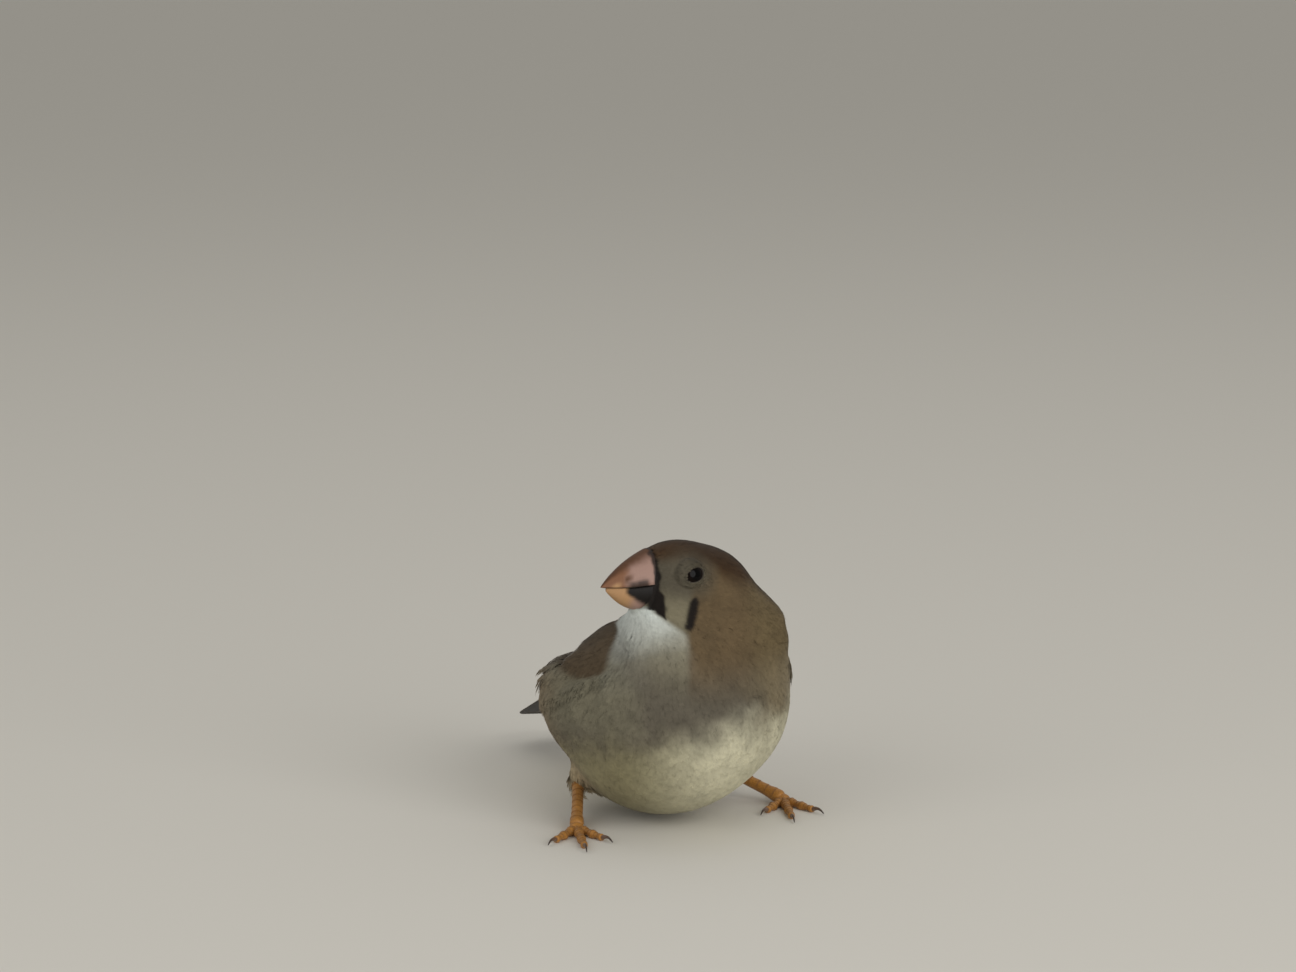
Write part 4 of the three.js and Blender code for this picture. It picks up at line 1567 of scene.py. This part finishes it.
class FinchBillSettings(bpy.types.PropertyGroup):
    pink: colour_setting("Side", "Colour of the sides of the bill", "9c7e72")
    ridge: colour_setting("Ridge", "Colour along the top of the bill", "563722")
    tip: colour_setting("Tip", "Colour of the tip of the upper bill", "7e5840")
    pale_tip_and_highlight: colour_setting("Lower tip", "Colour of the tip of the lower bill", "ab855e")
    dark: colour_setting("Root", "Colour of the dark root of the lower bill", "100b08")


class FinchEyeSettings(bpy.types.PropertyGroup):
    iris: colour_setting("Iris", "Colour round the pupil", "110906")
    pupil: colour_setting("Pupil", "Colour of the pupil", "050404")


class FinchLegSettings(bpy.types.PropertyGroup):
    skin_colour: colour_setting("Shields", "Colour of the shields of the legs and toes", "a87434")
    groove_colour: colour_setting("Grooves", "Colour between the shields", "63401f")
    pad_colour: colour_setting("Pads", "Colour of the undersides of the toes", "a67c58")
    claw_colour: colour_setting("Claws", "Colour of the claws at their roots", "6b5243")
    claw_tip_colour: colour_setting("Claw tips", "Colour of the points of the claws", "33261f")


class FinchStageSettings(bpy.types.PropertyGroup):
    key_power: FloatProperty(
        name="Key light", description="Power of the main lamp", default=4.0, min=0, subtype="POWER"
    )
    lamp_colour: colour_setting("Lamps", "Colour of the light of the lamps", "ffffff")
    air_colour: colour_setting("Air", "Colour of the light from all round", "e9e8e4")
    air_strength: share_setting("Air strength", "Strength of the light from all round", 0.5)
    floor_colour: colour_setting("Floor", "Colour of the floor", "d9d5cc")


# Operators


def skin_surface():
    return Surface(bpy.data.objects["skin"].data, "OFBake")


class FinchOperator:
    bl_options = {"REGISTER", "UNDO"}


class FINCH_OT_stage(FinchOperator, bpy.types.Operator):
    """Set up the camera, the studio light and the floor"""

    bl_idname = "finch.stage"
    bl_label = "Stage"

    def execute(self, context):
        build_stage(context.scene.finch_stage)
        return {"FINISHED"}


class FINCH_OT_skin(FinchOperator, bpy.types.Operator):
    """Shape the one skin that lies under the feathers, with its eyelids"""

    bl_idname = "finch.skin"
    bl_label = "Skin"

    def execute(self, context):
        build_skin(context.scene.finch_skin)
        return {"FINISHED"}


class FINCH_OT_coat(FinchOperator, bpy.types.Operator):
    """Grow the small feathers of the head and the body over the skin"""

    bl_idname = "finch.coat"
    bl_label = "Coat"

    def execute(self, context):
        build_coat(skin_surface(), context.scene.finch_coat)
        return {"FINISHED"}


class FINCH_OT_wings(FinchOperator, bpy.types.Operator):
    """Lay the flight feathers and coverts of the folded wings"""

    bl_idname = "finch.wings"
    bl_label = "Wings"

    def execute(self, context):
        build_wings(skin_surface(), context.scene.finch_flight)
        return {"FINISHED"}


class FINCH_OT_tail(FinchOperator, bpy.types.Operator):
    """Lay the tail feathers and the barred coverts over their roots"""

    bl_idname = "finch.tail"
    bl_label = "Tail"

    def execute(self, context):
        build_tail(context.scene.finch_flight)
        build_coverts(context.scene.finch_flight)
        return {"FINISHED"}


class FINCH_OT_bill(FinchOperator, bpy.types.Operator):
    """Shape the upper and the lower bill"""

    bl_idname = "finch.bill"
    bl_label = "Bill"

    def execute(self, context):
        build_bill(context.scene.finch_bill)
        return {"FINISHED"}


class FINCH_OT_eyes(FinchOperator, bpy.types.Operator):
    """Set the eyeballs behind their lids"""

    bl_idname = "finch.eyes"
    bl_label = "Eyes"

    def execute(self, context):
        build_eyes(context.scene.finch_eye)
        return {"FINISHED"}


class FINCH_OT_legs(FinchOperator, bpy.types.Operator):
    """Shape the scaled legs, the toes and the claws"""

    bl_idname = "finch.legs"
    bl_label = "Legs"

    def execute(self, context):
        build_legs(context.scene.finch_leg)
        return {"FINISHED"}


OPERATORS = (
    (FINCH_OT_stage, "finch_stage", FinchStageSettings),
    (FINCH_OT_skin, "finch_skin", FinchSkinSettings),
    (FINCH_OT_coat, "finch_coat", FinchCoatSettings),
    (FINCH_OT_wings, "finch_flight", FinchFlightSettings),
    (FINCH_OT_tail, "finch_flight", FinchFlightSettings),
    (FINCH_OT_bill, "finch_bill", FinchBillSettings),
    (FINCH_OT_eyes, "finch_eye", FinchEyeSettings),
    (FINCH_OT_legs, "finch_leg", FinchLegSettings),
)
SETTINGS = {holder: group for _, holder, group in OPERATORS}


class FINCH_PT_pieces(bpy.types.Panel):
    """The pieces of the finch with their sizes and colours"""

    bl_idname = "FINCH_PT_pieces"
    bl_label = "Finch"
    bl_space_type = "VIEW_3D"
    bl_region_type = "UI"
    bl_category = "Finch"

    def draw(self, context):
        shown = set()
        for operator, holder, group in OPERATORS:
            box = self.layout.box()
            box.operator(operator.bl_idname)
            if holder not in shown:
                for name in group.__annotations__:
                    box.prop(getattr(context.scene, holder), name)
            shown.add(holder)


def register():
    for holder, group in SETTINGS.items():
        bpy.utils.register_class(group)
        setattr(bpy.types.Scene, holder, PointerProperty(type=group))
    for operator, _, _ in OPERATORS:
        bpy.utils.register_class(operator)
    bpy.utils.register_class(FINCH_PT_pieces)


def unregister():
    bpy.utils.unregister_class(FINCH_PT_pieces)
    for operator, _, _ in reversed(OPERATORS):
        bpy.utils.unregister_class(operator)
    for holder, group in SETTINGS.items():
        delattr(bpy.types.Scene, holder)
        bpy.utils.unregister_class(group)


def main():
    register()
    bpy.ops.finch.stage()
    bpy.ops.finch.skin()
    bpy.ops.finch.coat()
    bpy.ops.finch.wings()
    bpy.ops.finch.tail()
    bpy.ops.finch.bill()
    bpy.ops.finch.eyes()
    bpy.ops.finch.legs()


if __name__ == "__main__":
    main()
